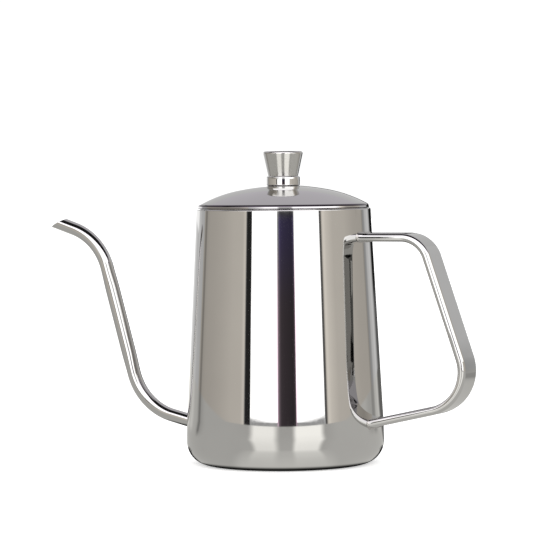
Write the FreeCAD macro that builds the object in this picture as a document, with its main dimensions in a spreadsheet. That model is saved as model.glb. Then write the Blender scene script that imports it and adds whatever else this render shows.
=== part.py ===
import FreeCAD, Part
import math
import os

import PartDesign  # registers the Body and its features
import Sketcher

# Gooseneck pour-over kettle in polished stainless steel, in millimetres.
# The frame: +Z up, the origin on the body's axis in the plane that the kettle stands on,
# the spout towards -X and the handle towards +X. The plane y = 0 cuts both in half.
#
# Pieces: the drawn body with its hemmed mouth, the bent spout tube and its weld, the strap
# handle and its two welds, and the lid with its skirt, its turned knob on a collar, and the
# screw and two washers that hold the knob from inside.

DIMENSIONS = (
    # Drawn body
    ("sheet_thickness", 0.6, "wall of the body, the lid and the skirt"),
    ("base_flat_radius", 36.9, "flat disc that the kettle stands on"),
    ("base_corner_radius", 11.0, "rounded corner between base and side"),
    ("side_arc_radius", 244.0, "large arc that blends the corner into the straight side"),
    ("side_tilt", 3.05, "lean of the straight side from upright, in degrees"),
    ("rim_height", 123.7, "top of the body"),
    ("rim_edge_radius", 0.6, "outer edge of the rim"),
    ("mouth_radius", 40.1, "clear opening inside the hem"),
    ("hem_thickness", 1.2, "folded hem of the mouth"),
    # Spout tube
    ("spout_diameter", 7.2, "outside of the tube"),
    ("spout_wall", 0.5, "wall of the tube"),
    ("spout_root_reach", 46.0, "inner end of the tube, from the body's axis"),
    ("spout_root_height", 17.92, "inner end of the tube, above the base"),
    ("spout_root_angle", 13.9, "rise of the first run, in degrees"),
    ("spout_root_run", 15.69, "first straight run"),
    ("spout_low_bend", 28.9, "radius of the lower bend"),
    ("spout_riser_angle", 74.6, "rise of the long run, in degrees"),
    ("spout_riser_run", 54.3, "long straight run"),
    ("spout_high_bend", 28.6, "radius of the upper bend"),
    ("spout_tip_angle", 18.9, "rise of the last run, in degrees"),
    ("spout_tip_run", 9.0, "last run, up to the middle of the cut"),
    ("spout_tip_spare", 6.0, "length that the slanted cut takes away"),
    ("spout_cut_angle", 46.0, "slant of the cut to the tube's axis, in degrees"),
    ("spout_hole_depth", 6.0, "cutter of the hole in the body, from the tube's inner end"),
    # Handle strap
    ("strap_width", 17.8, "across the handle"),
    ("strap_thickness", 4.05, "through the strap"),
    ("strap_edge_radius", 1.9, "rounded edges of the strap"),
    ("strap_root_reach", 38.0, "start of the upper arm, inside the body before trimming"),
    ("strap_arm_height", 109.95, "middle of the level upper arm"),
    ("strap_arm_run", 25.75, "upper arm, from its start to the bend"),
    ("strap_high_bend", 13.8, "radius of the upper bend"),
    ("strap_grip_tilt", 18.8, "lean of the grip from upright, in degrees"),
    ("strap_grip_run", 50.3, "straight part of the grip"),
    ("strap_low_bend", 19.3, "radius of the lower bend"),
    ("strap_low_slope", 12.6, "slope of the lower arm, in degrees"),
    ("strap_low_run", 38.0, "lower arm, to its end inside the body before trimming"),
    # Welds
    ("weld_size", 0.8, "reach and height of each polished weld bead"),
    ("weld_zone_length", 12.0, "block or rod that marks out where a weld is kept"),
    ("weld_zone_reach", 43.0, "middle of the upper arm's block, from the axis"),
    ("weld_zone_back", 6.0, "middle of the lower arm's block, from the strap's end"),
    # Lid
    ("lid_top_height", 135.0, "middle of the lid"),
    ("lid_crown_radius", 112.0, "arc of the lid's middle"),
    ("lid_crown_angle", 11.33, "where the crown meets the shoulder, in degrees"),
    ("lid_shoulder_radius", 65.0, "arc of the lid's shoulder"),
    ("lid_shoulder_angle", 29.0, "where the shoulder meets the edge, in degrees"),
    ("lid_edge_radius", 1.3, "rounded edge above the lid's band"),
    ("lid_band_lean", 9.0, "inward lean of the band, in degrees"),
    ("lid_foot_height", 123.75, "lower edge of the band, just clear of the rim"),
    ("lid_hole_radius", 2.2, "hole for the knob's screw"),
    ("vent_radius", 1.5, "steam vent in the lid"),
    ("vent_reach", 31.0, "steam vent, from the axis"),
    ("drill_length", 16.0, "cutter of each hole in the lid"),
    ("skirt_radius", 39.8, "outside of the skirt that drops into the mouth"),
    ("skirt_foot_height", 113.6, "lower edge of the skirt"),
    # Knob
    ("collar_top_height", 139.4, "top of the collar"),
    ("collar_belly_radius", 8.15, "widest part of the collar"),
    ("collar_end_radius", 7.5, "top and bottom of the collar"),
    ("grip_foot_radius", 7.25, "foot of the flared grip"),
    ("grip_head_radius", 9.85, "head of the flared grip"),
    ("grip_top_height", 151.5, "top of the kettle"),
    ("grip_edge_radius", 1.1, "rounded edge of the grip's head"),
    ("grip_hole_depth", 7.0, "threaded hole in the grip"),
    ("screw_radius", 2.0, "shank of the M4 screw"),
    ("screw_play", 0.03, "clearance of the screw in the grip and the collar"),
    ("screw_head_radius", 4.0, "pan head of the screw"),
    ("screw_head_height", 2.4, "pan head of the screw"),
    ("screw_end_height", 145.4, "end of the screw inside the grip"),
    ("screw_slot_width", 1.0, "slot in the screw's head"),
    ("screw_slot_depth", 1.1, "slot in the screw's head"),
    ("screw_head_edge", 1.0, "rounded edge of the screw's head"),
    ("washer_radius", 4.5, "flat washer under the lid"),
    ("washer_thickness", 0.8, "flat washer under the lid"),
    ("washer_play", 0.1, "clearance of both washers on the screw"),
    ("washer_top_height", 134.28, "where the flat washer meets the lid's underside"),
    ("spring_washer_radius", 3.6, "split washer on the screw's head"),
    ("spring_washer_thickness", 0.9, "split washer on the screw's head"),
    ("spring_washer_gap", 0.8, "split in the washer"),
    ("cutter_spare", 1.0, "how far a cutter runs past what it cuts"),
)
SIZE = {name: value for name, value, _ in DIMENSIONS}
PIECES = []

# How far a found edge may lie from the place that it is looked for, in millimetres.
EDGE_HEIGHT_SLACK = 0.01
EDGE_RADIUS_SLACK = 0.05
# A cut has to take away more than this, in cubic millimetres.
LEAST_CUT = 0.001
# How far a sweep's volume may be from its section times its length.
SWEEP_SLACK = 0.01


class Driven:
    """A number kept together with the sheet expression that gives it."""

    def __init__(self, value, text):
        self.value = value
        self.text = text

    def _with(self, sign, other, value):
        return Driven(value, "(" + self.text + " " + sign + " " + other.text + ")")

    def __add__(self, other):
        return self._with("+", other, self.value + other.value)

    def __sub__(self, other):
        return self._with("-", other, self.value - other.value)

    def __mul__(self, other):
        return self._with("*", other, self.value * other.value)

    def __truediv__(self, other):
        return self._with("/", other, self.value / other.value)


def dim(name):
    return Driven(SIZE[name], "Dims." + name)


def num(value):
    return Driven(float(value), repr(float(value)))


def sine(angle):
    return Driven(math.sin(math.radians(angle.value)), "sin(%s)" % angle.text)


def cosine(angle):
    return Driven(math.cos(math.radians(angle.value)), "cos(%s)" % angle.text)


def tangent(angle):
    return Driven(math.tan(math.radians(angle.value)), "tan(%s)" % angle.text)


ZERO = num(0)
TWO = num(2)
RIGHT_ANGLE = num(90)
HALF_TURN = num(180)


def make_sheet(document):
    sheet = document.addObject("Spreadsheet::Sheet", "Dims")
    for row, (name, value, note) in enumerate(DIMENSIONS, start=1):
        sheet.set("A%d" % row, name)
        sheet.set("B%d" % row, str(value))
        sheet.setAlias("B%d" % row, name)
        sheet.set("C%d" % row, note)
    document.recompute()
    return sheet


# --- Bodies, sketches and their driven constraints ---


def new_body(document, name, label=None):
    """A PartDesign body. With a label it is a piece of the kettle."""
    body = document.addObject("PartDesign::Body", name)
    if label:
        body.Label = label
        PIECES.append(body)
    return body


def new_sketch(body, name, role="XZ_Plane"):
    sketch = body.newObject("Sketcher::SketchObject", name)
    plane = next(item for item in body.Origin.OriginFeatures if item.Role == role)
    sketch.AttachmentSupport = [(plane, "")]
    sketch.MapMode = "FlatFace"
    return sketch


def drive(sketch, kind, places, driven):
    """One dimension of a sketch, bound to the sheet."""
    value = math.radians(driven.value) if kind == "Angle" else driven.value
    index = sketch.addConstraint(Sketcher.Constraint(kind, *places, value))
    name = "size%d" % index
    sketch.renameConstraint(index, name)
    sketch.setExpression("Constraints." + name, driven.text)


def hold(sketch, *constraints):
    """Geometric constraints, each given as its kind and its places."""
    for constraint in constraints:
        sketch.addConstraint(Sketcher.Constraint(*constraint))


def add_line(sketch, start, end):
    segment = Part.LineSegment(FreeCAD.Vector(*start, 0), FreeCAD.Vector(*end, 0))
    return sketch.addGeometry(segment, False)


def add_arc(sketch, centre, radius, start, end):
    """An arc that runs anticlockwise from one angle to the other, in degrees."""
    circle = Part.Circle(FreeCAD.Vector(*centre, 0), FreeCAD.Vector(0, 0, 1), radius)
    arc = Part.ArcOfCircle(circle, math.radians(start), math.radians(end))
    return sketch.addGeometry(arc, False)


def add_circle(sketch, centre, driven_radius):
    circle = Part.Circle(
        FreeCAD.Vector(*centre, 0), FreeCAD.Vector(0, 0, 1), driven_radius.value
    )
    index = sketch.addGeometry(circle, False)
    drive(sketch, "Radius", (index,), driven_radius)
    return index


def add_outline(sketch, corners):
    """A closed outline of straight lines. Each corner is a pair of driven values."""
    points = [(x.value, y.value) for x, y in corners]
    count = len(points)
    lines = [add_line(sketch, points[i], points[(i + 1) % count]) for i in range(count)]
    for i, line in enumerate(lines):
        hold(sketch, ("Coincident", line, 2, lines[(i + 1) % count], 1))
    for line, (x, y) in zip(lines, corners):
        if x.value == 0:
            hold(sketch, ("PointOnObject", line, 1, -2))
        else:
            drive(sketch, "DistanceX", (-1, 1, line, 1), x)
        if y.value == 0:
            hold(sketch, ("PointOnObject", line, 1, -1))
        else:
            drive(sketch, "DistanceY", (-1, 1, line, 1), y)
    return lines


def turn(body, name, sketch, kind="Revolution"):
    """Turn a half section about the sketch's upright axis."""
    feature = body.newObject("PartDesign::" + kind, name)
    feature.Profile = sketch
    feature.ReferenceAxis = (sketch, ["V_Axis"])
    feature.Angle = 360
    return feature


def place(item, reach, height, lean):
    """Put an item's own Z axis in the plane y = 0, leaning back from +Z towards -X."""
    item.Placement = FreeCAD.Placement(
        FreeCAD.Vector(reach.value, 0, height.value),
        FreeCAD.Rotation(FreeCAD.Vector(0, -1, 0), lean.value),
    )
    item.setExpression("Placement.Base.x", reach.text)
    item.setExpression("Placement.Base.z", height.text)
    item.setExpression("Placement.Rotation.Angle", lean.text)


def size_block(item, centre, length, width, height, rise):
    """Size a box and centre it in the plane y = 0, its own X axis rising from +X."""
    item.setExpression("Length", length.text)
    item.setExpression("Width", width.text)
    item.setExpression("Height", height.text)
    along, up = length / TWO, height / TWO
    corner_x = centre[0] - along * cosine(rise) + up * sine(rise)
    corner_z = centre[1] - along * sine(rise) - up * cosine(rise)
    place(item, corner_x, corner_z, rise)
    item.setExpression("Placement.Base.y", (ZERO - width / TWO).text)


def rod(body, name, kind, radius, length, reach, height, lean):
    """A cylinder added to a body or taken from it."""
    item = body.newObject("PartDesign::%sCylinder" % kind, name)
    item.setExpression("Radius", radius.text)
    item.setExpression("Height", length.text)
    place(item, reach, height, lean)
    return item


def round_edges(body, name, radius, wanted):
    """Fillet the edges of the body's last feature that the test picks out."""
    body.Document.recompute()
    base = body.Tip
    edges = [
        "Edge%d" % number
        for number, edge in enumerate(base.Shape.Edges, start=1)
        if wanted(edge)
    ]
    if not edges:
        raise RuntimeError(name + " finds no edge to round")
    fillet = body.newObject("PartDesign::Fillet", name)
    fillet.Base = (base, edges)
    fillet.setExpression("Radius", radius.text)
    return fillet


def is_ring(height, radius):
    """Test for a round edge about the kettle's axis at this height and radius."""

    def test(edge):
        curve = edge.Curve
        if not isinstance(curve, Part.Circle):
            return False
        level = abs(curve.Center.z - height) < EDGE_HEIGHT_SLACK
        return level and abs(curve.Radius - radius) < EDGE_RADIUS_SLACK

    return test


def cut_volume(body, feature):
    """Recompute, and refuse a cut that takes nothing away."""
    body.Document.recompute()
    if feature.Shape.Volume > feature.BaseFeature.Shape.Volume - LEAST_CUT:
        raise RuntimeError(feature.Name + " cuts nothing")


# --- Outlines that several pieces share ---


def body_outline(sketch, inset, top):
    """Half section of the drawn body, closed to its axis, moved inwards by inset."""
    flat, corner = dim("base_flat_radius"), dim("base_corner_radius")
    side, tilt = dim("side_arc_radius"), dim("side_tilt")
    corner_radius, side_radius = corner - inset, side - inset
    centre_x = flat.value + corner.value - side.value
    lean = math.radians(tilt.value)
    side_end = (
        centre_x + side_radius.value * math.cos(lean),
        corner.value + side_radius.value * math.sin(lean),
    )
    top_x = side_end[0] - (top.value - side_end[1]) * math.tan(lean)
    base_line = add_line(sketch, (0, inset.value), (flat.value, inset.value))
    corner_arc = add_arc(sketch, (flat.value, corner.value), corner_radius.value, -90, 0)
    side_arc = add_arc(sketch, (centre_x, corner.value), side_radius.value, 0, tilt.value)
    wall = add_line(sketch, side_end, (top_x, top.value))
    top_line = add_line(sketch, (top_x, top.value), (0, top.value))
    axis_line = add_line(sketch, (0, top.value), (0, inset.value))
    hold(
        sketch,
        ("PointOnObject", base_line, 1, -2),
        ("Horizontal", base_line),
        ("Tangent", base_line, 2, corner_arc, 1),
        ("Tangent", corner_arc, 2, side_arc, 1),
        ("Tangent", side_arc, 2, wall, 1),
        ("Coincident", wall, 2, top_line, 1),
        ("Horizontal", top_line),
        ("PointOnObject", top_line, 2, -2),
        ("Coincident", top_line, 2, axis_line, 1),
        ("Coincident", axis_line, 2, base_line, 1),
    )
    drive(sketch, "DistanceY", (-1, 1, base_line, 1), inset)
    drive(sketch, "DistanceX", (base_line, 1, base_line, 2), flat)
    drive(sketch, "Radius", (corner_arc,), corner_radius)
    drive(sketch, "Radius", (side_arc,), side_radius)
    drive(sketch, "DistanceY", (-1, 1, side_arc, 3), corner)
    drive(sketch, "Angle", (wall,), RIGHT_ANGLE + tilt)
    drive(sketch, "DistanceY", (-1, 1, top_line, 1), top)


def lid_outline(sketch, inset, foot):
    """Half section of the lid's dome, closed to its axis, moved inwards by inset."""
    top = dim("lid_top_height")
    crown, shoulder, edge = (
        dim("lid_crown_radius"),
        dim("lid_shoulder_radius"),
        dim("lid_edge_radius"),
    )
    radii = [crown - inset, shoulder - inset, edge - inset]
    lean = dim("lid_band_lean")
    angles = [dim("lid_crown_angle"), dim("lid_shoulder_angle"), RIGHT_ANGLE - lean]
    centre = [0.0, top.value - crown.value]
    arcs = []
    previous_angle = 0.0
    for number, (radius, angle) in enumerate(zip(radii, angles)):
        arcs.append(
            add_arc(sketch, centre, radius.value, 90 - angle.value, 90 - previous_angle)
        )
        if number < 2:
            step = radii[number].value - radii[number + 1].value
            turn_angle = math.radians(angle.value)
            centre = [
                centre[0] + step * math.sin(turn_angle),
                centre[1] + step * math.cos(turn_angle),
            ]
        previous_angle = angle.value
    lean_angle = math.radians(lean.value)
    band_top = (
        centre[0] + radii[2].value * math.cos(lean_angle),
        centre[1] + radii[2].value * math.sin(lean_angle),
    )
    outer = band_top[0] + (band_top[1] - foot.value) * math.tan(lean_angle)
    band = add_line(sketch, band_top, (outer, foot.value))
    foot_line = add_line(sketch, (outer, foot.value), (0, foot.value))
    axis_line = add_line(sketch, (0, foot.value), (0, top.value - inset.value))
    hold(
        sketch,
        ("PointOnObject", arcs[0], 3, -2),
        ("PointOnObject", arcs[0], 2, -2),
        ("Tangent", arcs[0], 1, arcs[1], 2),
        ("Tangent", arcs[1], 1, arcs[2], 2),
        ("Tangent", arcs[2], 1, band, 1),
        ("Coincident", band, 2, foot_line, 1),
        ("Horizontal", foot_line),
        ("PointOnObject", foot_line, 2, -2),
        ("Coincident", foot_line, 2, axis_line, 1),
        ("Coincident", axis_line, 2, arcs[0], 2),
    )
    for arc, radius in zip(arcs, radii):
        drive(sketch, "Radius", (arc,), radius)
    crown_reach = radii[0] * sine(angles[0])
    shoulder_reach = (radii[0] - radii[1]) * sine(angles[0]) + radii[1] * sine(angles[1])
    drive(sketch, "DistanceY", (-1, 1, arcs[0], 3), top - crown)
    drive(sketch, "DistanceX", (-1, 1, arcs[0], 1), crown_reach)
    drive(sketch, "DistanceX", (-1, 1, arcs[1], 1), shoulder_reach)
    drive(sketch, "DistanceY", (-1, 1, foot_line, 1), foot)
    drive(sketch, "Angle", (band,), lean - RIGHT_ANGLE)


def moved(point, distance, heading):
    """A point at a distance and a heading from another, both as driven values."""
    return point[0] + distance * cosine(heading), point[1] + distance * sine(heading)


def plain(point):
    return point[0].value, point[1].value


def tangent_path(sketch, start, headings, runs, bends):
    """Straight runs joined by tangent bends. Returns where the path ends."""
    point = start
    previous = None
    for number, (heading, run) in enumerate(zip(headings, runs)):
        end = moved(point, run, heading)
        line = add_line(sketch, plain(point), plain(end))
        drive(sketch, "Angle", (line,), heading)
        drive(sketch, "Distance", (line,), run)
        if previous is None:
            drive(sketch, "DistanceX", (-1, 1, line, 1), start[0])
            drive(sketch, "DistanceY", (-1, 1, line, 1), start[1])
        else:
            hold(sketch, ("Tangent", previous[0], previous[1], line, 1))
        point = end
        if number == len(bends):
            break
        radius, following = bends[number], headings[number + 1]
        side = 1 if following.value > heading.value else -1
        quarter = RIGHT_ANGLE * num(side)
        first, last = heading - quarter, following - quarter
        centre = moved(point, radius, heading + quarter)
        angles = sorted((first.value, last.value))
        arc = add_arc(sketch, plain(centre), radius.value, *angles)
        enter, leave = (1, 2) if side > 0 else (2, 1)
        hold(sketch, ("Tangent", line, 2, arc, enter))
        drive(sketch, "Radius", (arc,), radius)
        point = moved(centre, radius, last)
        previous = (arc, leave)
    return point


def rounded_rectangle(sketch, centre_y, width, height, radius):
    """A rectangle with round corners, centred on the sketch's upright axis."""
    half_w, half_h, r = width.value / 2, height.value / 2, radius.value
    y = centre_y.value
    top = add_line(sketch, (-half_w + r, y + half_h), (half_w - r, y + half_h))
    right = add_line(sketch, (half_w, y + half_h - r), (half_w, y - half_h + r))
    bottom = add_line(sketch, (half_w - r, y - half_h), (-half_w + r, y - half_h))
    left = add_line(sketch, (-half_w, y - half_h + r), (-half_w, y + half_h - r))
    centres = (
        (half_w - r, y + half_h - r),
        (half_w - r, y - half_h + r),
        (-half_w + r, y - half_h + r),
        (-half_w + r, y + half_h - r),
    )
    sides = (top, right, bottom, left)
    arcs = []
    for number, centre in enumerate(centres):
        start = -90 * number
        arc = add_arc(sketch, centre, r, start, start + 90)
        arcs.append(arc)
        hold(
            sketch,
            ("Tangent", sides[number], 2, arc, 2),
            ("Tangent", arc, 1, sides[(number + 1) % 4], 1),
        )
    hold(
        sketch,
        ("Horizontal", top),
        ("Horizontal", bottom),
        ("Vertical", left),
        ("Vertical", right),
        ("Equal", arcs[0], arcs[1]),
        ("Equal", arcs[0], arcs[2]),
        ("Equal", arcs[0], arcs[3]),
    )
    drive(sketch, "Radius", (arcs[0],), radius)
    drive(sketch, "DistanceX", (-1, 1, right, 1), width / TWO)
    drive(sketch, "DistanceX", (left, 1, -1, 1), width / TWO)
    drive(sketch, "DistanceY", (-1, 1, top, 1), centre_y + height / TWO)
    drive(sketch, "DistanceY", (-1, 1, bottom, 1), centre_y - height / TWO)


# --- The drawn body ---


def spout_frame():
    """Where the spout's first run starts and how far its axis leans from upright."""
    reach = ZERO - dim("spout_root_reach")
    lean = RIGHT_ANGLE - dim("spout_root_angle")
    return reach, dim("spout_root_height"), lean


def rim_radius():
    """Outer radius of the straight side where it reaches the rim."""
    tilt, side, corner = dim("side_tilt"), dim("side_arc_radius"), dim("base_corner_radius")
    foot_radius = dim("base_flat_radius") + corner - side + side * cosine(tilt)
    foot_height = corner + side * sine(tilt)
    return foot_radius - (dim("rim_height") - foot_height) * tangent(tilt)


def make_body_shell(document):
    body = new_body(document, "BodyShell", "body_shell")
    rim = dim("rim_height")
    outer = new_sketch(body, "OuterSection")
    body_outline(outer, ZERO, rim)
    turn(body, "OuterForm", outer)
    inner = new_sketch(body, "InnerSection")
    body_outline(inner, dim("sheet_thickness"), rim)
    cut_volume(body, turn(body, "Hollow", inner, "Groove"))
    make_hem(body)
    edge_test = is_ring(rim.value, rim_radius().value)
    round_edges(body, "RimEdge", dim("rim_edge_radius"), edge_test)
    reach, height, lean = spout_frame()
    hole = rod(
        body,
        "SpoutHole",
        "Subtractive",
        dim("spout_diameter") / TWO,
        dim("spout_hole_depth"),
        reach,
        height,
        lean,
    )
    cut_volume(body, hole)
    return body


def make_hem(body):
    """The mouth's folded hem: a level ring with a round inner edge, joined to the wall."""
    sketch = new_sketch(body, "HemSection")
    rim, thickness = dim("rim_height"), dim("hem_thickness")
    fold = thickness / TWO
    inner = dim("mouth_radius") + fold
    outer = rim_radius() - dim("sheet_thickness") / TWO
    below = rim - thickness
    top_line = add_line(sketch, (outer.value, rim.value), (inner.value, rim.value))
    arc = add_arc(sketch, (inner.value, (rim - fold).value), fold.value, 90, 270)
    bottom_line = add_line(sketch, (inner.value, below.value), (outer.value, below.value))
    side = add_line(sketch, (outer.value, below.value), (outer.value, rim.value))
    hold(
        sketch,
        ("Tangent", top_line, 2, arc, 1),
        ("Tangent", arc, 2, bottom_line, 1),
        ("Coincident", bottom_line, 2, side, 1),
        ("Coincident", side, 2, top_line, 1),
        ("Horizontal", top_line),
        ("Horizontal", bottom_line),
        ("Vertical", side),
    )
    drive(sketch, "Radius", (arc,), fold)
    drive(sketch, "DistanceX", (-1, 1, arc, 3), inner)
    drive(sketch, "DistanceY", (-1, 1, top_line, 1), rim)
    drive(sketch, "DistanceX", (-1, 1, side, 1), outer)
    turn(body, "Hem", sketch)
    body.Document.recompute()


# --- The spout ---


def make_spout_tube(document):
    body = new_body(document, "SpoutTube", "spout_tube")
    spine = new_sketch(body, "SpoutLine")
    reach, height, _ = spout_frame()
    headings = [
        HALF_TURN - dim("spout_root_angle"),
        HALF_TURN - dim("spout_riser_angle"),
        HALF_TURN - dim("spout_tip_angle"),
    ]
    runs = [
        dim("spout_root_run"),
        dim("spout_riser_run"),
        dim("spout_tip_run") + dim("spout_tip_spare"),
    ]
    bends = [dim("spout_low_bend"), dim("spout_high_bend")]
    end = tangent_path(spine, (reach, height), headings, runs, bends)
    document.recompute()
    ring = body.newObject("Sketcher::SketchObject", "SpoutRing")
    ring.AttachmentSupport = [(spine, "Edge1")]
    ring.MapMode = "NormalToEdge"
    ring.MapPathParameter = 0.0
    outer = dim("spout_diameter") / TWO
    for radius in (outer, outer - dim("spout_wall")):
        circle = add_circle(ring, (0, 0), radius)
        hold(ring, ("Coincident", circle, 3, -1, 1))
    document.recompute()
    pipe = body.newObject("PartDesign::AdditivePipe", "SpoutSweep")
    pipe.Profile = ring
    pipe.Spine = spine
    document.recompute()
    check_pipe(pipe, spine, ring)
    cut_tip(body, moved(end, ZERO - dim("spout_tip_spare"), headings[-1]))
    return body


def check_pipe(pipe, spine, profile):
    """A sweep has to hold its section times the length of its line."""
    wires = sorted(profile.Shape.Wires, key=lambda wire: -wire.Length)
    section = Part.Face(wires, "Part::FaceMakerBullseye")
    expected = section.Area * spine.Shape.Length
    found = pipe.Shape.Volume
    if abs(found - expected) > SWEEP_SLACK * expected:
        raise RuntimeError("%s has volume %.1f, not %.1f" % (pipe.Name, found, expected))


def cut_tip(body, middle):
    """Cut the tube's end off at a slant, so that the mouth opens upwards and outwards."""
    slant = dim("spout_cut_angle") - dim("spout_tip_angle")
    block_size = dim("spout_diameter") * TWO * TWO
    centre = moved(middle, block_size / TWO, slant + RIGHT_ANGLE)
    block = body.newObject("PartDesign::SubtractiveBox", "TipCut")
    size_block(block, centre, block_size, block_size, block_size, slant)
    cut_volume(body, block)


# --- The handle ---


def make_handle(document):
    body = new_body(document, "HandleStrap", "handle_strap")
    spine = new_sketch(body, "StrapLine")
    start = (dim("strap_root_reach"), dim("strap_arm_height"))
    headings = [
        ZERO,
        dim("strap_grip_tilt") - RIGHT_ANGLE,
        dim("strap_low_slope") - HALF_TURN,
    ]
    runs = [dim("strap_arm_run"), dim("strap_grip_run"), dim("strap_low_run")]
    bends = [dim("strap_high_bend"), dim("strap_low_bend")]
    end = tangent_path(spine, start, headings, runs, bends)
    section = new_sketch(body, "StrapSection", "YZ_Plane")
    section.AttachmentOffset = FreeCAD.Placement(
        FreeCAD.Vector(0, 0, SIZE["strap_root_reach"]), FreeCAD.Rotation()
    )
    section.setExpression("AttachmentOffset.Base.z", "Dims.strap_root_reach")
    rounded_rectangle(
        section,
        dim("strap_arm_height"),
        dim("strap_width"),
        dim("strap_thickness"),
        dim("strap_edge_radius"),
    )
    document.recompute()
    pipe = body.newObject("PartDesign::AdditivePipe", "StrapSweep")
    pipe.Profile = section
    pipe.Spine = spine
    document.recompute()
    check_pipe(pipe, spine, section)
    outline = new_sketch(body, "BodyOutline")
    body_outline(outline, ZERO, dim("rim_height"))
    cut_volume(body, turn(body, "TrimToBody", outline, "Groove"))
    return body, end


# --- Welds: a thin skin of the body's own shape, kept only round each joint ---


def make_weld_skin(document):
    body = new_body(document, "WeldSkin")
    top = dim("rim_height")
    outer = new_sketch(body, "SkinOuter")
    body_outline(outer, ZERO - dim("weld_size"), top)
    turn(body, "SkinForm", outer)
    inner = new_sketch(body, "SkinInner")
    body_outline(inner, ZERO, top)
    cut_volume(body, turn(body, "SkinHollow", inner, "Groove"))
    return body


def make_weld(document, label, skin, zone, joined):
    """The part of the skin inside the zone and outside the joined piece."""
    words = "".join(word.capitalize() for word in label.split("_"))
    common = document.addObject("Part::Common", words + "Zone")
    common.Base = skin
    common.Tool = zone
    weld = document.addObject("Part::Cut", words)
    weld.Base = common
    weld.Tool = joined
    weld.Label = label
    PIECES.append(weld)


def strap_weld_zone(document, name, centre, rise):
    """A block round one end of the strap, leaning with it."""
    block = document.addObject("Part::Box", name)
    rim = TWO * dim("weld_size")
    width, thickness = dim("strap_width") + rim, dim("strap_thickness") + rim
    size_block(block, centre, dim("weld_zone_length"), width, thickness, rise)
    return block


def make_welds(document, handle, strap_end):
    skin = make_weld_skin(document)
    upper_middle = (dim("weld_zone_reach"), dim("strap_arm_height"))
    upper_zone = strap_weld_zone(document, "UpperZoneBlock", upper_middle, ZERO)
    make_weld(document, "handle_weld_upper", skin, upper_zone, handle)
    slope = dim("strap_low_slope")
    lower_middle = moved(strap_end, dim("weld_zone_back"), slope)
    lower_zone = strap_weld_zone(document, "LowerZoneBlock", lower_middle, slope)
    make_weld(document, "handle_weld_lower", skin, lower_zone, handle)
    tube_radius = dim("spout_diameter") / TWO
    zone = weld_rod(document, "SpoutZoneRod", tube_radius + dim("weld_size"))
    fill = weld_rod(document, "SpoutFill", tube_radius)
    make_weld(document, "spout_weld", skin, zone, fill)


def weld_rod(document, name, radius):
    """A rod along the spout's first run."""
    item = document.addObject("Part::Cylinder", name)
    item.setExpression("Radius", radius.text)
    item.setExpression("Height", "Dims.weld_zone_length")
    place(item, *spout_frame())
    return item


# --- The lid ---


def make_lid_dome(document):
    body = new_body(document, "LidDome", "lid_dome")
    foot = dim("lid_foot_height")
    outer = new_sketch(body, "LidOuter")
    lid_outline(outer, ZERO, foot)
    turn(body, "LidForm", outer)
    inner = new_sketch(body, "LidInner")
    lid_outline(inner, dim("sheet_thickness"), foot)
    cut_volume(body, turn(body, "LidHollow", inner, "Groove"))
    drill(body, "KnobHole", dim("lid_hole_radius"), ZERO)
    drill(body, "VentHole", dim("vent_radius"), ZERO - dim("vent_reach"))
    return body


def drill(body, name, radius, reach):
    """An upright hole right through the lid."""
    height = dim("lid_foot_height")
    depth = dim("drill_length")
    hole = rod(body, name, "Subtractive", radius, depth, reach, height, ZERO)
    cut_volume(body, hole)


def make_lid_skirt(document):
    """The ring that drops into the mouth, its top edge cut to the lid's underside."""
    ring = new_body(document, "SkirtRing")
    outer, foot = dim("skirt_radius"), dim("skirt_foot_height")
    inner, top = outer - dim("sheet_thickness"), dim("lid_top_height")
    section = new_sketch(ring, "SkirtSection")
    add_outline(section, ((inner, foot), (outer, foot), (outer, top), (inner, top)))
    turn(ring, "SkirtForm", section)
    under = new_body(document, "UnderLid")
    under_sketch = new_sketch(under, "UnderSection")
    lid_outline(under_sketch, dim("sheet_thickness"), foot)
    turn(under, "UnderForm", under_sketch)
    skirt = document.addObject("Part::Common", "LidSkirt")
    skirt.Base = ring
    skirt.Tool = under
    skirt.Label = "lid_skirt"
    PIECES.append(skirt)


# --- The knob ---


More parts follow.
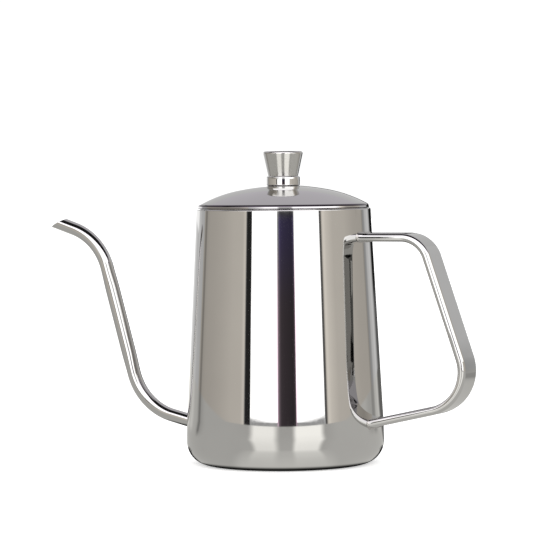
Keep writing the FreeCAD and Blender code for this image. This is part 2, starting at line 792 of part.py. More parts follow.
def make_knob_collar(document):
    """A barrel-shaped ring whose foot follows the lid's crown."""
    body = new_body(document, "KnobCollar", "knob_collar")
    sketch = new_sketch(body, "CollarSection")
    top, crown = dim("collar_top_height"), dim("lid_crown_radius")
    crown_centre = dim("lid_top_height") - crown
    bore, end = dim("screw_radius") + dim("screw_play"), dim("collar_end_radius")
    belly = dim("collar_belly_radius")
    foot_z = crown_centre.value + math.sqrt(crown.value**2 - end.value**2)
    bore_z = crown_centre.value + math.sqrt(crown.value**2 - bore.value**2)
    foot_arc = add_arc(
        sketch,
        (0, crown_centre.value),
        crown.value,
        math.degrees(math.atan2(foot_z - crown_centre.value, end.value)),
        math.degrees(math.atan2(bore_z - crown_centre.value, bore.value)),
    )
    half_height = (top.value - foot_z) / 2
    bulge = belly.value - end.value
    side_radius = (half_height**2 + bulge**2) / (2 * bulge)
    side_centre = (belly.value - side_radius, (top.value + foot_z) / 2)
    half_angle = math.degrees(math.asin(half_height / side_radius))
    side_arc = add_arc(sketch, side_centre, side_radius, -half_angle, half_angle)
    top_line = add_line(sketch, (end.value, top.value), (bore.value, top.value))
    bore_line = add_line(sketch, (bore.value, top.value), (bore.value, bore_z))
    hold(
        sketch,
        ("PointOnObject", foot_arc, 3, -2),
        ("Coincident", foot_arc, 1, side_arc, 1),
        ("Coincident", side_arc, 2, top_line, 1),
        ("Coincident", top_line, 2, bore_line, 1),
        ("Coincident", bore_line, 2, foot_arc, 2),
        ("Horizontal", top_line),
        ("Vertical", bore_line),
    )
    drive(sketch, "Radius", (foot_arc,), crown)
    drive(sketch, "DistanceY", (-1, 1, foot_arc, 3), crown_centre)
    drive(sketch, "DistanceX", (-1, 1, foot_arc, 1), end)
    drive(sketch, "DistanceX", (-1, 1, top_line, 1), end)
    drive(sketch, "DistanceX", (-1, 1, bore_line, 1), bore)
    drive(sketch, "DistanceY", (-1, 1, top_line, 1), top)
    drive(sketch, "Radius", (side_arc,), num(side_radius))
    turn(body, "Collar", sketch)


def make_knob_grip(document):
    """The flared grip, with the blind hole that takes the screw."""
    body = new_body(document, "KnobGrip", "knob_grip")
    sketch = new_sketch(body, "GripSection")
    foot, head = dim("grip_foot_radius"), dim("grip_head_radius")
    bottom, top = dim("collar_top_height"), dim("grip_top_height")
    add_outline(sketch, ((ZERO, bottom), (foot, bottom), (head, top), (ZERO, top)))
    turn(body, "Grip", sketch)
    edge_test = is_ring(top.value, head.value)
    round_edges(body, "GripEdge", dim("grip_edge_radius"), edge_test)
    hole_radius = dim("screw_radius") + dim("screw_play")
    hole = rod(
        body,
        "GripHole",
        "Subtractive",
        hole_radius,
        dim("grip_hole_depth"),
        ZERO,
        bottom,
        ZERO,
    )
    cut_volume(body, hole)


def make_fasteners(document):
    """The flat washer, the split washer and the pan-head screw, from the lid downwards."""
    shank = dim("screw_radius")
    hole = shank + dim("washer_play")
    washer_top = dim("washer_top_height")
    washer_foot = washer_top - dim("washer_thickness")
    spring_foot = washer_foot - dim("spring_washer_thickness")
    head_foot = spring_foot - dim("screw_head_height")
    washer = new_body(document, "KnobWasher", "knob_washer")
    make_washer(washer, hole, dim("washer_radius"), washer_foot, washer_top)
    spring = new_body(document, "KnobSpringWasher", "knob_spring_washer")
    make_washer(spring, hole, dim("spring_washer_radius"), spring_foot, washer_foot)
    spare = dim("cutter_spare")
    gap = spring.newObject("PartDesign::SubtractiveBox", "Split")
    gap_length = dim("spring_washer_radius") + spare
    gap_height = dim("spring_washer_thickness") + spare
    gap_middle = (gap_length / TWO, spring_foot + dim("spring_washer_thickness") / TWO)
    gap_width = dim("spring_washer_gap")
    size_block(gap, gap_middle, gap_length, gap_width, gap_height, ZERO)
    cut_volume(spring, gap)
    screw = new_body(document, "KnobScrew", "knob_screw")
    sketch = new_sketch(screw, "ScrewSection")
    head = dim("screw_head_radius")
    end = dim("screw_end_height")
    corners = (
        (ZERO, head_foot),
        (head, head_foot),
        (head, spring_foot),
        (shank, spring_foot),
        (shank, end),
        (ZERO, end),
    )
    add_outline(sketch, corners)
    turn(screw, "Screw", sketch)
    edge_test = is_ring(head_foot.value, head.value)
    round_edges(screw, "HeadEdge", dim("screw_head_edge"), edge_test)
    slot = screw.newObject("PartDesign::SubtractiveBox", "Slot")
    slot_height = dim("screw_slot_depth") * TWO
    slot_length = (head + spare) * TWO
    size_block(slot, (ZERO, head_foot), slot_length, dim("screw_slot_width"), slot_height, ZERO)
    cut_volume(screw, slot)


def make_washer(body, inner, outer, bottom, top):
    sketch = new_sketch(body, body.Name + "Section")
    add_outline(sketch, ((inner, bottom), (outer, bottom), (outer, top), (inner, top)))
    turn(body, body.Name + "Ring", sketch)


# --- Build, check and write ---


def check_document(document):
    document.recompute()
    for item in document.Objects:
        if "Invalid" in item.State or "Error" in item.State:
            raise RuntimeError("%s failed: %s" % (item.Name, item.State))


def write_pieces():
    os.makedirs("parts", exist_ok=True)
    for piece in PIECES:
        shape = piece.Shape
        if shape.isNull() or not shape.isValid():
            raise RuntimeError(piece.Label + " has no valid shape")
        shape.exportStep("parts/%s.step" % piece.Label)
        box = shape.BoundBox
        print(
            "%-20s solids %d volume %9.2f  x %.2f..%.2f y %.2f..%.2f z %.2f..%.2f"
            % (
                piece.Label,
                len(shape.Solids),
                shape.Volume,
                box.XMin,
                box.XMax,
                box.YMin,
                box.YMax,
                box.ZMin,
                box.ZMax,
            )
        )


def main():
    document = FreeCAD.newDocument("GooseneckKettle")
    make_sheet(document)
    make_body_shell(document)
    make_spout_tube(document)
    handle, strap_end = make_handle(document)
    make_welds(document, handle, strap_end)
    make_lid_dome(document)
    make_lid_skirt(document)
    make_knob_collar(document)
    make_knob_grip(document)
    make_fasteners(document)
    check_document(document)
    write_pieces()


main()
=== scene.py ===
import math

import bpy
import numpy as np
from mathutils import Matrix, Vector


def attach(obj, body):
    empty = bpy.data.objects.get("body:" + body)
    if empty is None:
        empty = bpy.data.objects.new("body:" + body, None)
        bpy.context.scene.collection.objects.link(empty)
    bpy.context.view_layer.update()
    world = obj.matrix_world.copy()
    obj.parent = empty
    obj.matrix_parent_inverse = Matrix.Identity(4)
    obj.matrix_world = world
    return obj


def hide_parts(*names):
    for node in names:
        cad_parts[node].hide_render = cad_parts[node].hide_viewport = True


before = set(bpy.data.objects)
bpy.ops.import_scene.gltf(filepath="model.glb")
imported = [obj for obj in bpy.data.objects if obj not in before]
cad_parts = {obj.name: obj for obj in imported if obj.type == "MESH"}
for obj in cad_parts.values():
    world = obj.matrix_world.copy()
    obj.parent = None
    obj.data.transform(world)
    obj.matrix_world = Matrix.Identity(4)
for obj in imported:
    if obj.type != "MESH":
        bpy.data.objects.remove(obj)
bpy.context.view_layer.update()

# Gooseneck kettle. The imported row's frame: +Z up, the origin on the body's axis where the
# kettle stands, the spout towards -X and the handle towards +X. The kettle's sizes are in
# millimetres, and are turned into metres where a mesh is made. The studio's are in metres.
MM = 0.001

# --- Camera, in metres ---
CAMERA_AZIMUTH = 24.0
CAMERA_DISTANCE = 1.358
CAMERA_HEIGHT = 0.1434
CAMERA_LENS = 183.3
AIM_LEFT = 4.35 * MM
AIM_HEIGHT = 91.5 * MM
CAMERA_ROLL = -0.55

# --- Drawn body ---
SHEET = 0.6
BASE_FLAT = 36.9
BASE_CORNER = 11.0
SIDE_ARC = 244.0
SIDE_TILT = 3.05
RIM_HEIGHT = 123.7
RIM_EDGE = 0.6
HEM = 1.2
MOUTH = 40.1
# Above this height, a face nearer the axis than the middle of the sheet is inside.
INSIDE_FROM = 3.0
AROUND = 360

# --- Spout ---
TUBE = 3.6
TUBE_WALL = 0.5
SPOUT_START = (-46.0, 17.92)
SPOUT_HEADINGS = (166.1, 105.4, 161.1)
SPOUT_RUNS = (15.69, 54.3, 9.0)
SPOUT_BENDS = (28.9, 28.6)
SPOUT_SLANT = 46.0
# The tube flattens where it is bent: half its depth in the bend's plane, and across it.
BENT_DEPTH = 3.28
BENT_WIDTH = 3.74
# How much of the riser it takes to become round, at each end.
ROUNDING_RUN = 0.22
SPOUT_STEP = 0.6
# The hole in the body is this much tighter than the tube.
HOLE_TIGHTER = 0.05

# --- Handle ---
STRAP_WIDTH = 17.8
STRAP_THICKNESS = 4.05
STRAP_EDGE = 1.9
STRAP_START = (38.0, 109.95)
STRAP_HEADINGS = (0.0, -71.2, -167.4)
STRAP_RUNS = (25.75, 50.3, 38.0)
STRAP_BENDS = (13.8, 19.3)
STRAP_STEP = 0.8
# How far a straight arm goes into the body's sheet.
STRAP_SINK = 0.3
# Along an arm, the search for the body's side starts this far back from the bend.
SEARCH_BACK = 20.0
WELD = 0.8
# How far a weld goes into the sheet and the bar, and how far its edges stand off them.
WELD_SINK = 0.15
WELD_LIP = 0.02

# --- Lid ---
LID_TOP = 135.0
CROWN_RADIUS = 112.0
CROWN_ANGLE = 11.33
SHOULDER_RADIUS = 65.0
SHOULDER_ANGLE = 29.0
LID_EDGE = 1.3
BAND_LEAN = 9.0
# The lid's foot stands a little off the rim, which leaves a dark seam.
LID_FOOT = 124.0
# Shade is painted into the lid's colour in the crease, this far above the foot, and along the
# foot. Each pair says how far from there it is still full, and how far it reaches.
CREASE_RISE = 1.5
CREASE_DARK = (0.34, 0.62)
SEAM_DARK = (0.28, 0.5)
LID_HOLE = 2.2
VENT_RADIUS = 1.5
VENT_REACH = -31.0
SKIRT_RADIUS = 39.8
SKIRT_FOOT = 113.6

# --- Knob ---
COLLAR_TOP = 139.4
COLLAR_BELLY = 8.15
COLLAR_SHOULDER = 8.1
COLLAR_END = 7.5
COLLAR_ROUND = 0.65
GRIP_FOOT = 7.25
GRIP_HEAD = 9.85
GRIP_TOP = 151.5
GRIP_EDGE = 1.1
GRIP_HOLE_DEPTH = 7.0
SCREW_HOLE = 2.03
SMALL_EDGE = 0.18


# --- Profiles: runs of points, each a radius, a height and the surface's outward direction ---
# Each closed profile runs anticlockwise, with its outside on the right of the way it runs.


def line(start, end, steps=1):
    """A straight run of a profile."""
    t = np.linspace(0.0, 1.0, steps + 1)[:, None]
    a, b = np.array(start, float), np.array(end, float)
    points = a + (b - a) * t
    along = (b - a) / np.linalg.norm(b - a)
    out = np.tile([along[1], -along[0]], (steps + 1, 1))
    return np.hstack([points, out])


def arc(centre, radius, start, end, steps):
    """A round run of a profile. It bulges outwards if it runs anticlockwise."""
    angle = np.radians(np.linspace(start, end, steps + 1))
    way = np.stack([np.cos(angle), np.sin(angle)], 1)
    side = 1.0 if end > start else -1.0
    return np.hstack([np.array(centre) + radius * way, side * way])


def new_piece(name, vertices, faces):
    """A smooth mesh object from points in millimetres."""
    mesh = bpy.data.meshes.new(name)
    mesh.from_pydata((np.asarray(vertices) * MM).tolist(), [], faces)
    mesh.validate()
    mesh.polygons.foreach_set("use_smooth", [True] * len(mesh.polygons))
    piece = bpy.data.objects.new(name, mesh)
    bpy.context.scene.collection.objects.link(piece)
    return piece


def lathe(name, runs, around=AROUND):
    """Turn a closed profile about the kettle's axis."""
    points = []
    for run in runs:
        for point in run[:, :2]:
            if not points or np.linalg.norm(points[-1] - point) > 1e-6:
                points.append(point)
    if np.linalg.norm(points[-1] - points[0]) < 1e-6:
        points.pop()
    angle = np.linspace(0.0, 2 * math.pi, around, endpoint=False)
    vertices, rings = [], []
    for radius, height in points:
        if radius < 1e-6:
            rings.append([len(vertices)] * around)
            vertices.append((0.0, 0.0, height))
            continue
        rings.append(range(len(vertices), len(vertices) + around))
        for a in angle:
            vertices.append((radius * math.cos(a), radius * math.sin(a), height))
    faces = []
    for i in range(len(rings)):
        low, high = rings[i], rings[(i + 1) % len(rings)]
        if low[0] == low[1] and high[0] == high[1]:
            continue
        for j in range(around):
            k = (j + 1) % around
            face = [low[j], low[k], high[k], high[j]]
            faces.append(list(dict.fromkeys(face)))
    return new_piece(name, vertices, faces)


def polish(piece, runs):
    """Give a turned piece the exact surface directions of its profile."""
    mesh = piece.data
    starts = np.vstack([run[:-1] for run in runs])
    stops = np.vstack([run[1:] for run in runs])
    co = np.empty(len(mesh.vertices) * 3)
    mesh.vertices.foreach_get("co", co)
    co = co.reshape(-1, 3) / MM
    corner = np.empty(len(mesh.loops), int)
    mesh.loops.foreach_get("vertex_index", corner)
    total = np.empty(len(mesh.polygons), int)
    mesh.polygons.foreach_get("loop_total", total)
    face_out = np.empty(len(mesh.polygons) * 3)
    mesh.polygons.foreach_get("normal", face_out)
    face_out = np.repeat(face_out.reshape(-1, 3), total, 0)
    place = co[corner]
    reach = np.hypot(place[:, 0], place[:, 1])
    # On the axis the face's own side says which way is outwards.
    spoke = np.where(reach[:, None] > 1e-4, place[:, :2], face_out[:, :2])
    spoke = spoke / np.maximum(np.linalg.norm(spoke, axis=1), 1e-9)[:, None]
    flat_face = np.stack([(face_out[:, :2] * spoke).sum(1), face_out[:, 2]], 1)
    here = np.stack([reach, place[:, 2]], 1)
    best = np.full(len(here), 0.05)
    out = flat_face.copy()
    turned = np.zeros(len(here), bool)
    for a, b in zip(starts, stops):
        way = b[:2] - a[:2]
        t = np.clip(((here - a[:2]) @ way) / (way @ way), 0.0, 1.0)
        gap = np.linalg.norm(here - (a[:2] + t[:, None] * way), axis=1)
        normal = a[2:] + t[:, None] * (b[2:] - a[2:])
        agrees = (normal * flat_face).sum(1) > 0.85
        wins = agrees & (gap < best)
        best[wins] = gap[wins]
        out[wins] = normal[wins]
        turned |= wins
    world = np.hstack([spoke * out[:, :1], out[:, 1:]])
    world[~turned] = face_out[~turned]
    world /= np.linalg.norm(world, axis=1)[:, None]
    mesh.normals_split_custom_set(world.tolist())


def drill(piece, start, direction, radius, length, sides=64):
    """Take a round hole out of a piece. The start and sizes are in millimetres."""
    way = Vector(direction).normalized()
    turn = way.to_track_quat("Z", "Y").to_matrix()
    vertices, faces = [], []
    for height in (0.0, length):
        for i in range(sides):
            a = 2 * math.pi * i / sides
            spot = turn @ Vector((radius * math.cos(a), radius * math.sin(a), height))
            vertices.append(tuple(Vector(start) + spot))
    for i in range(sides):
        k = (i + 1) % sides
        faces.append([i, k, sides + k, sides + i])
    faces.append(list(range(sides))[::-1])
    faces.append(list(range(sides, 2 * sides)))
    cutter = new_piece("cutter", vertices, faces)
    hole = piece.modifiers.new("hole", "BOOLEAN")
    hole.operation = "DIFFERENCE"
    hole.solver = "EXACT"
    hole.object = cutter
    graph = bpy.context.evaluated_depsgraph_get()
    cut = bpy.data.meshes.new_from_object(piece.evaluated_get(graph))
    piece.modifiers.remove(hole)
    old = piece.data
    piece.data = cut
    cut.name = piece.name
    bpy.data.meshes.remove(old)
    bpy.data.objects.remove(cutter)


def net(name, rings, normals=None, closed=False):
    """A mesh through rings of points, each ring closed. Open ends are capped."""
    rings = np.asarray(rings)
    count, around = rings.shape[:2]
    faces = []
    for i in range(count if closed else count - 1):
        low, high = i * around, ((i + 1) % count) * around
        for j in range(around):
            k = (j + 1) % around
            faces.append([low + j, low + k, high + k, high + j])
    if not closed:
        faces.append(list(range(around))[::-1])
        faces.append(list(range((count - 1) * around, count * around)))
    piece = new_piece(name, rings.reshape(-1, 3), faces)
    if normals is not None:
        flat = np.asarray(normals).reshape(-1, 3)
        flat = flat / np.linalg.norm(flat, axis=1)[:, None]
        piece.data.normals_split_custom_set_from_vertices(flat.tolist())
    return piece


# --- The drawn body ---


def side_radius(height):
    """Outside of the body at a height, for an array of heights."""
    centre = BASE_FLAT + BASE_CORNER - SIDE_ARC
    tilt = math.radians(SIDE_TILT)
    arc_top = BASE_CORNER + SIDE_ARC * math.sin(tilt)
    arc_end = centre + SIDE_ARC * math.cos(tilt)
    drop = np.clip(BASE_CORNER - height, 0.0, BASE_CORNER)
    corner = BASE_FLAT + np.sqrt(BASE_CORNER**2 - drop**2)
    rise = np.clip(height - BASE_CORNER, 0.0, SIDE_ARC)
    side = centre + np.sqrt(SIDE_ARC**2 - rise**2)
    wall = arc_end - (height - arc_top) * math.tan(tilt)
    return np.where(height < BASE_CORNER, corner, np.where(height < arc_top, side, wall))


def body_side(inset, top, steps):
    """The base, the corner, the long arc and the straight side, moved inwards by inset."""
    centre = BASE_FLAT + BASE_CORNER - SIDE_ARC
    tilt = math.radians(SIDE_TILT)
    radius = SIDE_ARC - inset
    end = (centre + radius * math.cos(tilt), BASE_CORNER + radius * math.sin(tilt))
    last = (end[0] - (top - end[1]) * math.tan(tilt), top)
    base = line((0.0, inset), (BASE_FLAT, inset), 12)
    corner = arc((BASE_FLAT, BASE_CORNER), BASE_CORNER - inset, -90.0, 0.0, 30)
    side = arc((centre, BASE_CORNER), radius, 0.0, SIDE_TILT, 10)
    return [base, corner, side, line(end, last, steps)]


def backwards(runs):
    """The same runs the other way, so that they face the other side."""
    turned = []
    for run in reversed(runs):
        flipped = run[::-1].copy()
        flipped[:, 2:] *= -1.0
        turned.append(flipped)
    return turned


def make_body():
    tilt = math.radians(SIDE_TILT)
    # The rounded rim edge touches the sloping side and the level top.
    edge_height = RIM_HEIGHT - RIM_EDGE
    touch = edge_height + RIM_EDGE * math.sin(tilt)
    outside = body_side(0.0, touch, 40)
    side_end = outside[-1][-1, :2]
    edge_centre = (side_end[0] - RIM_EDGE * math.cos(tilt), edge_height)
    edge = arc(edge_centre, RIM_EDGE, SIDE_TILT, 90.0, 10)
    fold = HEM / 2
    hem_centre = (MOUTH + fold, RIM_HEIGHT - fold)
    top = line(edge[-1, :2], (hem_centre[0], RIM_HEIGHT), 2)
    hem = arc(hem_centre, fold, 90.0, 270.0, 12)
    inside = backwards(body_side(SHEET, RIM_HEIGHT - HEM, 20))
    under = line(hem[-1, :2], inside[0][0, :2], 2)
    runs = outside + [edge, top, hem, under] + inside
    body = lathe("kettle_body", runs)
    start = (SPOUT_START[0] + 1.0, 0.0, SPOUT_START[1])
    drill(body, start, plane_way(SPOUT_HEADINGS[0]), TUBE - HOLE_TIGHTER, 7.0)
    polish(body, runs)
    # Slot 1 is the inside, which is left satin as it was drawn.
    for face in body.data.polygons:
        spot = face.center / MM
        reach = math.hypot(spot.x, spot.y)
        middle = float(side_radius(np.array(max(spot.z, 0.0)))) - SHEET / 2
        within = SHEET / 2 < spot.z < RIM_HEIGHT - HEM / 2
        side_inside = reach < middle and spot.z > INSIDE_FROM
        base_inside = spot.z < BASE_CORNER and face.normal.z > 0.3
        face.material_index = 1 if within and (side_inside or base_inside) else 0
    return body


# --- Bent pieces ---


def heading_way(heading):
    return math.cos(math.radians(heading)), math.sin(math.radians(heading))


def plane_way(heading):
    """A heading as a direction in the plane of the spout and the handle."""
    x, z = heading_way(heading)
    return np.array([x, 0.0, z])


def plane_left(heading):
    """The direction in that plane a quarter turn anticlockwise from a heading."""
    x, z = heading_way(heading)
    return np.array([-z, 0.0, x])


def bent_line(start, headings, runs, bends, step):
    """Stations along straight runs joined by bends: (x, z, heading, place in its run)."""
    stations = []
    x, z = start
    for number, (heading, run) in enumerate(zip(headings, runs)):
        way = heading_way(heading)
        count = max(2, int(run / step))
        for t in np.linspace(0.0, 1.0, count + 1):
            stations.append((x + way[0] * run * t, z + way[1] * run * t, heading, number, t))
        x, z = x + way[0] * run, z + way[1] * run
        if number == len(bends):
            break
        turn = headings[number + 1] - heading
        side = 1.0 if turn > 0 else -1.0
        radius = bends[number]
        to_centre = heading_way(heading + 90.0 * side)
        centre = (x + radius * to_centre[0], z + radius * to_centre[1])
        count = max(6, int(abs(math.radians(turn)) * radius / step))
        for t in np.linspace(0.0, 1.0, count + 1)[1:]:
            way_now = heading + turn * t
            from_centre = heading_way(way_now - 90.0 * side)
            x = centre[0] + radius * from_centre[0]
            z = centre[1] + radius * from_centre[1]
            if t < 1.0:
                stations.append((x, z, way_now, number + 0.5, t))
    return stations


def smooth(t):
    t = min(max(t, 0.0), 1.0)
    return t * t * (3.0 - 2.0 * t)


def bend_share(part, t):
    """How far the tube is flattened: 1 in the bends and beyond them, 0 up the riser."""
    if part != 1:
        return 1.0
    return 1.0 - smooth(t / ROUNDING_RUN) * smooth((1.0 - t) / ROUNDING_RUN)


def make_spout():
    around = 96
    theta = np.linspace(0.0, 2 * math.pi, around, endpoint=False)
    cosine, sine = np.cos(theta), np.sin(theta)
    stations = bent_line(SPOUT_START, SPOUT_HEADINGS, SPOUT_RUNS, SPOUT_BENDS, SPOUT_STEP)
    slant = 1.0 / math.tan(math.radians(SPOUT_SLANT))

    def ring(station, thin, forward):
        """One ring, its wall thinned from the outside and moved forward at the tip."""
        x, z, heading, part, t = station
        share = bend_share(part, t)
        depth = TUBE + (BENT_DEPTH - TUBE) * share - thin
        width = TUBE + (BENT_WIDTH - TUBE) * share - thin
        way = plane_way(heading)
        # Towards the top of the tip and the left of the riser.
        up = -plane_left(heading)
        height = depth * cosine
        push = np.full(around, forward)
        if part == 2:
            push = push - t * slant * height
        points = (
            np.array([x, 0.0, z])
            + height[:, None] * up
            + np.outer(width * sine, [0.0, 1.0, 0.0])
            + np.outer(push, way)
        )
        return points, up, way, depth, width

    rings, normals = [], []

    def add(station, thin, forward, side, lean=0.0):
        points, up, way, depth, width = ring(station, thin, forward)
        out = np.outer(cosine / depth, up) + np.outer(sine / width, [0.0, 1.0, 0.0])
        out /= np.linalg.norm(out, axis=1)[:, None]
        rings.append(points)
        normals.append(side * math.cos(lean) * out + math.sin(lean) * way)

    half = TUBE_WALL / 2
    for station in stations:
        add(station, 0.0, -half if station is stations[-1] else 0.0, 1.0)
    for i in range(1, 8):
        angle = math.pi * i / 8
        lean = angle if angle < math.pi / 2 else math.pi - angle
        side = 1.0 if angle < math.pi / 2 else -1.0
        thin = half * (1.0 - math.cos(angle))
        add(stations[-1], thin, -half + half * math.sin(angle), side, lean)
    for station in reversed(stations):
        add(station, TUBE_WALL, -half if station is stations[-1] else 0.0, -1.0)
    return net("kettle_spout", rings, normals, closed=True)


def strap_section(steps=9):
    """Points round the strap's section: (across, outwards) and their directions."""
    half_w, half_t, r = STRAP_WIDTH / 2, STRAP_THICKNESS / 2, STRAP_EDGE
    points, out = [], []
    flat = half_w - r
    for corner, (cx, cy) in enumerate(((flat, 1), (-flat, 1), (-flat, -1), (flat, -1))):
        for i in range(steps + 1):
            angle = math.radians(90.0 * corner + 90.0 * i / steps)
            way = (math.cos(angle), math.sin(angle))
            points.append((cx + r * way[0], cy * (half_t - r) + r * way[1]))
            out.append(way)
        if corner in (0, 2):
            for t in np.linspace(0.0, 1.0, 9)[1:-1]:
                across = flat * (1.0 - 2.0 * t) * (1 if corner == 0 else -1)
                points.append((across, half_t * cy))
                out.append((0.0, float(cy)))
    return np.array(points), np.array(out)


def on_body(points, way, sink=0.0):
    """Slide points along a direction until they lie on the body's side."""
    points = np.asarray(points, float)
    low, high = np.full(len(points), -25.0), np.full(len(points), 25.0)
    for _ in range(40):
        middle = (low + high) / 2
        spot = points + middle[:, None] * way
        outside = np.hypot(spot[:, 0], spot[:, 1]) > side_radius(spot[:, 2]) - sink
        high = np.where(outside, middle, high)
        low = np.where(outside, low, middle)
    return points + ((low + high) / 2)[:, None] * way


def strap_ring(x, z, heading, section):
    """The strap's section, standing across its line at a station."""
    sideways = np.outer(section[:, 0], [0.0, 1.0, 0.0])
    return np.array([x, 0.0, z]) + sideways + np.outer(section[:, 1], plane_left(heading))


def strap_stations():
    """The strap's stations, and where its upper and its lower arm meet a bend."""
    stations = bent_line(STRAP_START, STRAP_HEADINGS, STRAP_RUNS, STRAP_BENDS, STRAP_STEP)
    arm_ends = ((0, 1.0), (len(STRAP_RUNS) - 1, 0.0))
    return stations, {s[3]: s for s in stations if s[3:] in arm_ends}


def make_strap():
    section, out = strap_section()
    stations, arm_ends = strap_stations()
    rings, normals = [], []
    for x, z, heading, part, t in stations:
        if part in arm_ends:
            # A straight arm runs from its bend to the side of the body, on each line.
            away = plane_way(heading) if part == 0 else -plane_way(heading)
            fixed = strap_ring(*arm_ends[part][:3], section)
            foot = on_body(fixed - SEARCH_BACK * away, away, STRAP_SINK)
            share = t if part == 0 else 1.0 - t
            ring = foot + (fixed - foot) * share
        else:
            ring = strap_ring(x, z, heading, section)
        rings.append(ring)
        sideways = np.outer(out[:, 0], [0.0, 1.0, 0.0])
        normals.append(sideways + np.outer(out[:, 1], plane_left(heading)))
    return net("kettle_handle", rings, normals)


def make_bead(name, foot, away, across, section, out):
    """A polished weld: a hollow fillet round a bar that stands on the body's side.

    The bar's line starts at foot and runs away from the body. Across is its section's
    second axis, and the first one is Y."""

    def loop(grow, lift):
        grown = section + grow * out
        start = foot + np.outer(grown[:, 0], [0.0, 1.0, 0.0]) + np.outer(grown[:, 1], across)
        return on_body(start, away, WELD_LIP) + lift * away

    outer, tip, inner = loop(WELD, 0.0), loop(WELD_LIP, WELD), loop(WELD_LIP, 0.0)
    rings = []
    steps = 8
    for i in range(steps + 1):
        t = i / steps
        rings.append((1 - t) ** 2 * outer + 2 * t * (1 - t) * inner + t**2 * tip)
    rings.append(loop(-WELD_SINK, WELD * 0.9))
    rings.append(loop(-WELD_SINK, -WELD_SINK))
    rings.append(loop(WELD * 0.9, -WELD_SINK))
    return net(name, rings, closed=True)


def make_welds():
    section, out = strap_section()
    arm_ends = strap_stations()[1].values()
    beads = []
    for name, (x, z, heading, part, _) in zip(("weld_upper", "weld_lower"), arm_ends):
        away = plane_way(heading) if part == 0 else -plane_way(heading)
        foot = np.array([x, 0.0, z]) - SEARCH_BACK * away
        beads.append(make_bead(name, foot, away, plane_left(heading), section, out))
    theta = np.linspace(0.0, 2 * math.pi, 64, endpoint=False)
    ring = np.stack([np.cos(theta), np.sin(theta)], 1)
    oval = ring * np.array([BENT_WIDTH, BENT_DEPTH])
    away = plane_way(SPOUT_HEADINGS[0])
    foot = np.array([SPOUT_START[0], 0.0, SPOUT_START[1]]) + 2.0 * away
    beads.append(make_bead("weld_spout", foot, away, -plane_left(SPOUT_HEADINGS[0]), oval, ring))
    return beads


# --- The lid and its knob ---


def lid_side(inset, foot, inner_reach):
    """The lid's crown, shoulder, edge and band, moved inwards by inset, from foot to hole."""
    radii = (CROWN_RADIUS - inset, SHOULDER_RADIUS - inset, LID_EDGE - inset)
    angles = (CROWN_ANGLE, SHOULDER_ANGLE, 90.0 - BAND_LEAN)
    centre = np.array([0.0, LID_TOP - CROWN_RADIUS])
    first = math.degrees(math.asin(inner_reach / radii[0]))
    previous = first
    runs = []
    for number in range(3):
        steps = (24, 36, 10)[number]
        runs.append(arc(centre, radii[number], 90.0 - angles[number], 90.0 - previous, steps))
        previous = angles[number]
        if number < 2:
            away = math.radians(90.0 - angles[number])
            step = radii[number] - radii[number + 1]
            centre = centre + step * np.array([math.cos(away), math.sin(away)])
    top = runs[2][0, :2]
    lean = math.radians(BAND_LEAN)
    bottom = (top[0] + (top[1] - foot) * math.tan(lean), foot)
    band = line(bottom, top, 4)
    return [band] + runs[::-1]


def make_lid():
    outside = lid_side(0.0, LID_FOOT + SMALL_EDGE, LID_HOLE)
    inside = backwards(lid_side(SHEET, LID_FOOT + SMALL_EDGE, LID_HOLE))
    outer_foot, inner_foot = outside[0][0, :2], inside[-1][-1, :2]
    middle_out = (outer_foot[0] - SMALL_EDGE, LID_FOOT + SMALL_EDGE)
    middle_in = (inner_foot[0] + SMALL_EDGE, LID_FOOT + SMALL_EDGE)
    foot = [
        arc(middle_in, SMALL_EDGE, 180.0, 270.0, 4),
        line((middle_in[0], LID_FOOT), (middle_out[0], LID_FOOT)),
        arc(middle_out, SMALL_EDGE, -90.0, 0.0, 4),
    ]
    hole = line(outside[-1][-1, :2], inside[0][0, :2])
    runs = outside + [hole] + inside + foot
    lid = lathe("lid_dome_shell", runs)
    drill(lid, (VENT_REACH, 0.0, LID_FOOT), (0.0, 0.0, 1.0), VENT_RADIUS, 12.0)
    polish(lid, runs)
    return lid


def make_skirt():
    inner = SKIRT_RADIUS - SHEET
    centre_angle = math.radians(90.0 - CROWN_ANGLE)
    step = CROWN_RADIUS - SHOULDER_RADIUS
    centre_r = step * math.cos(centre_angle)
    centre_z = LID_TOP - CROWN_RADIUS + step * math.sin(centre_angle)
    under = SHOULDER_RADIUS - SHEET
    start = math.degrees(math.acos((SKIRT_RADIUS - centre_r) / under))
    end = math.degrees(math.acos((inner - centre_r) / under))
    top = arc((centre_r, centre_z), under, start, end, 3)
    r = SMALL_EDGE
    runs = [
        line((SKIRT_RADIUS, SKIRT_FOOT + r), tuple(top[0, :2]), 6),
        top,
        line(tuple(top[-1, :2]), (inner, SKIRT_FOOT + r), 6),
        arc((inner + r, SKIRT_FOOT + r), r, 180.0, 270.0, 4),
        line((inner + r, SKIRT_FOOT), (SKIRT_RADIUS - r, SKIRT_FOOT)),
        arc((SKIRT_RADIUS - r, SKIRT_FOOT + r), r, -90.0, 0.0, 4),
    ]
    skirt = lathe("lid_skirt_ring", runs)
    polish(skirt, runs)
    return skirt


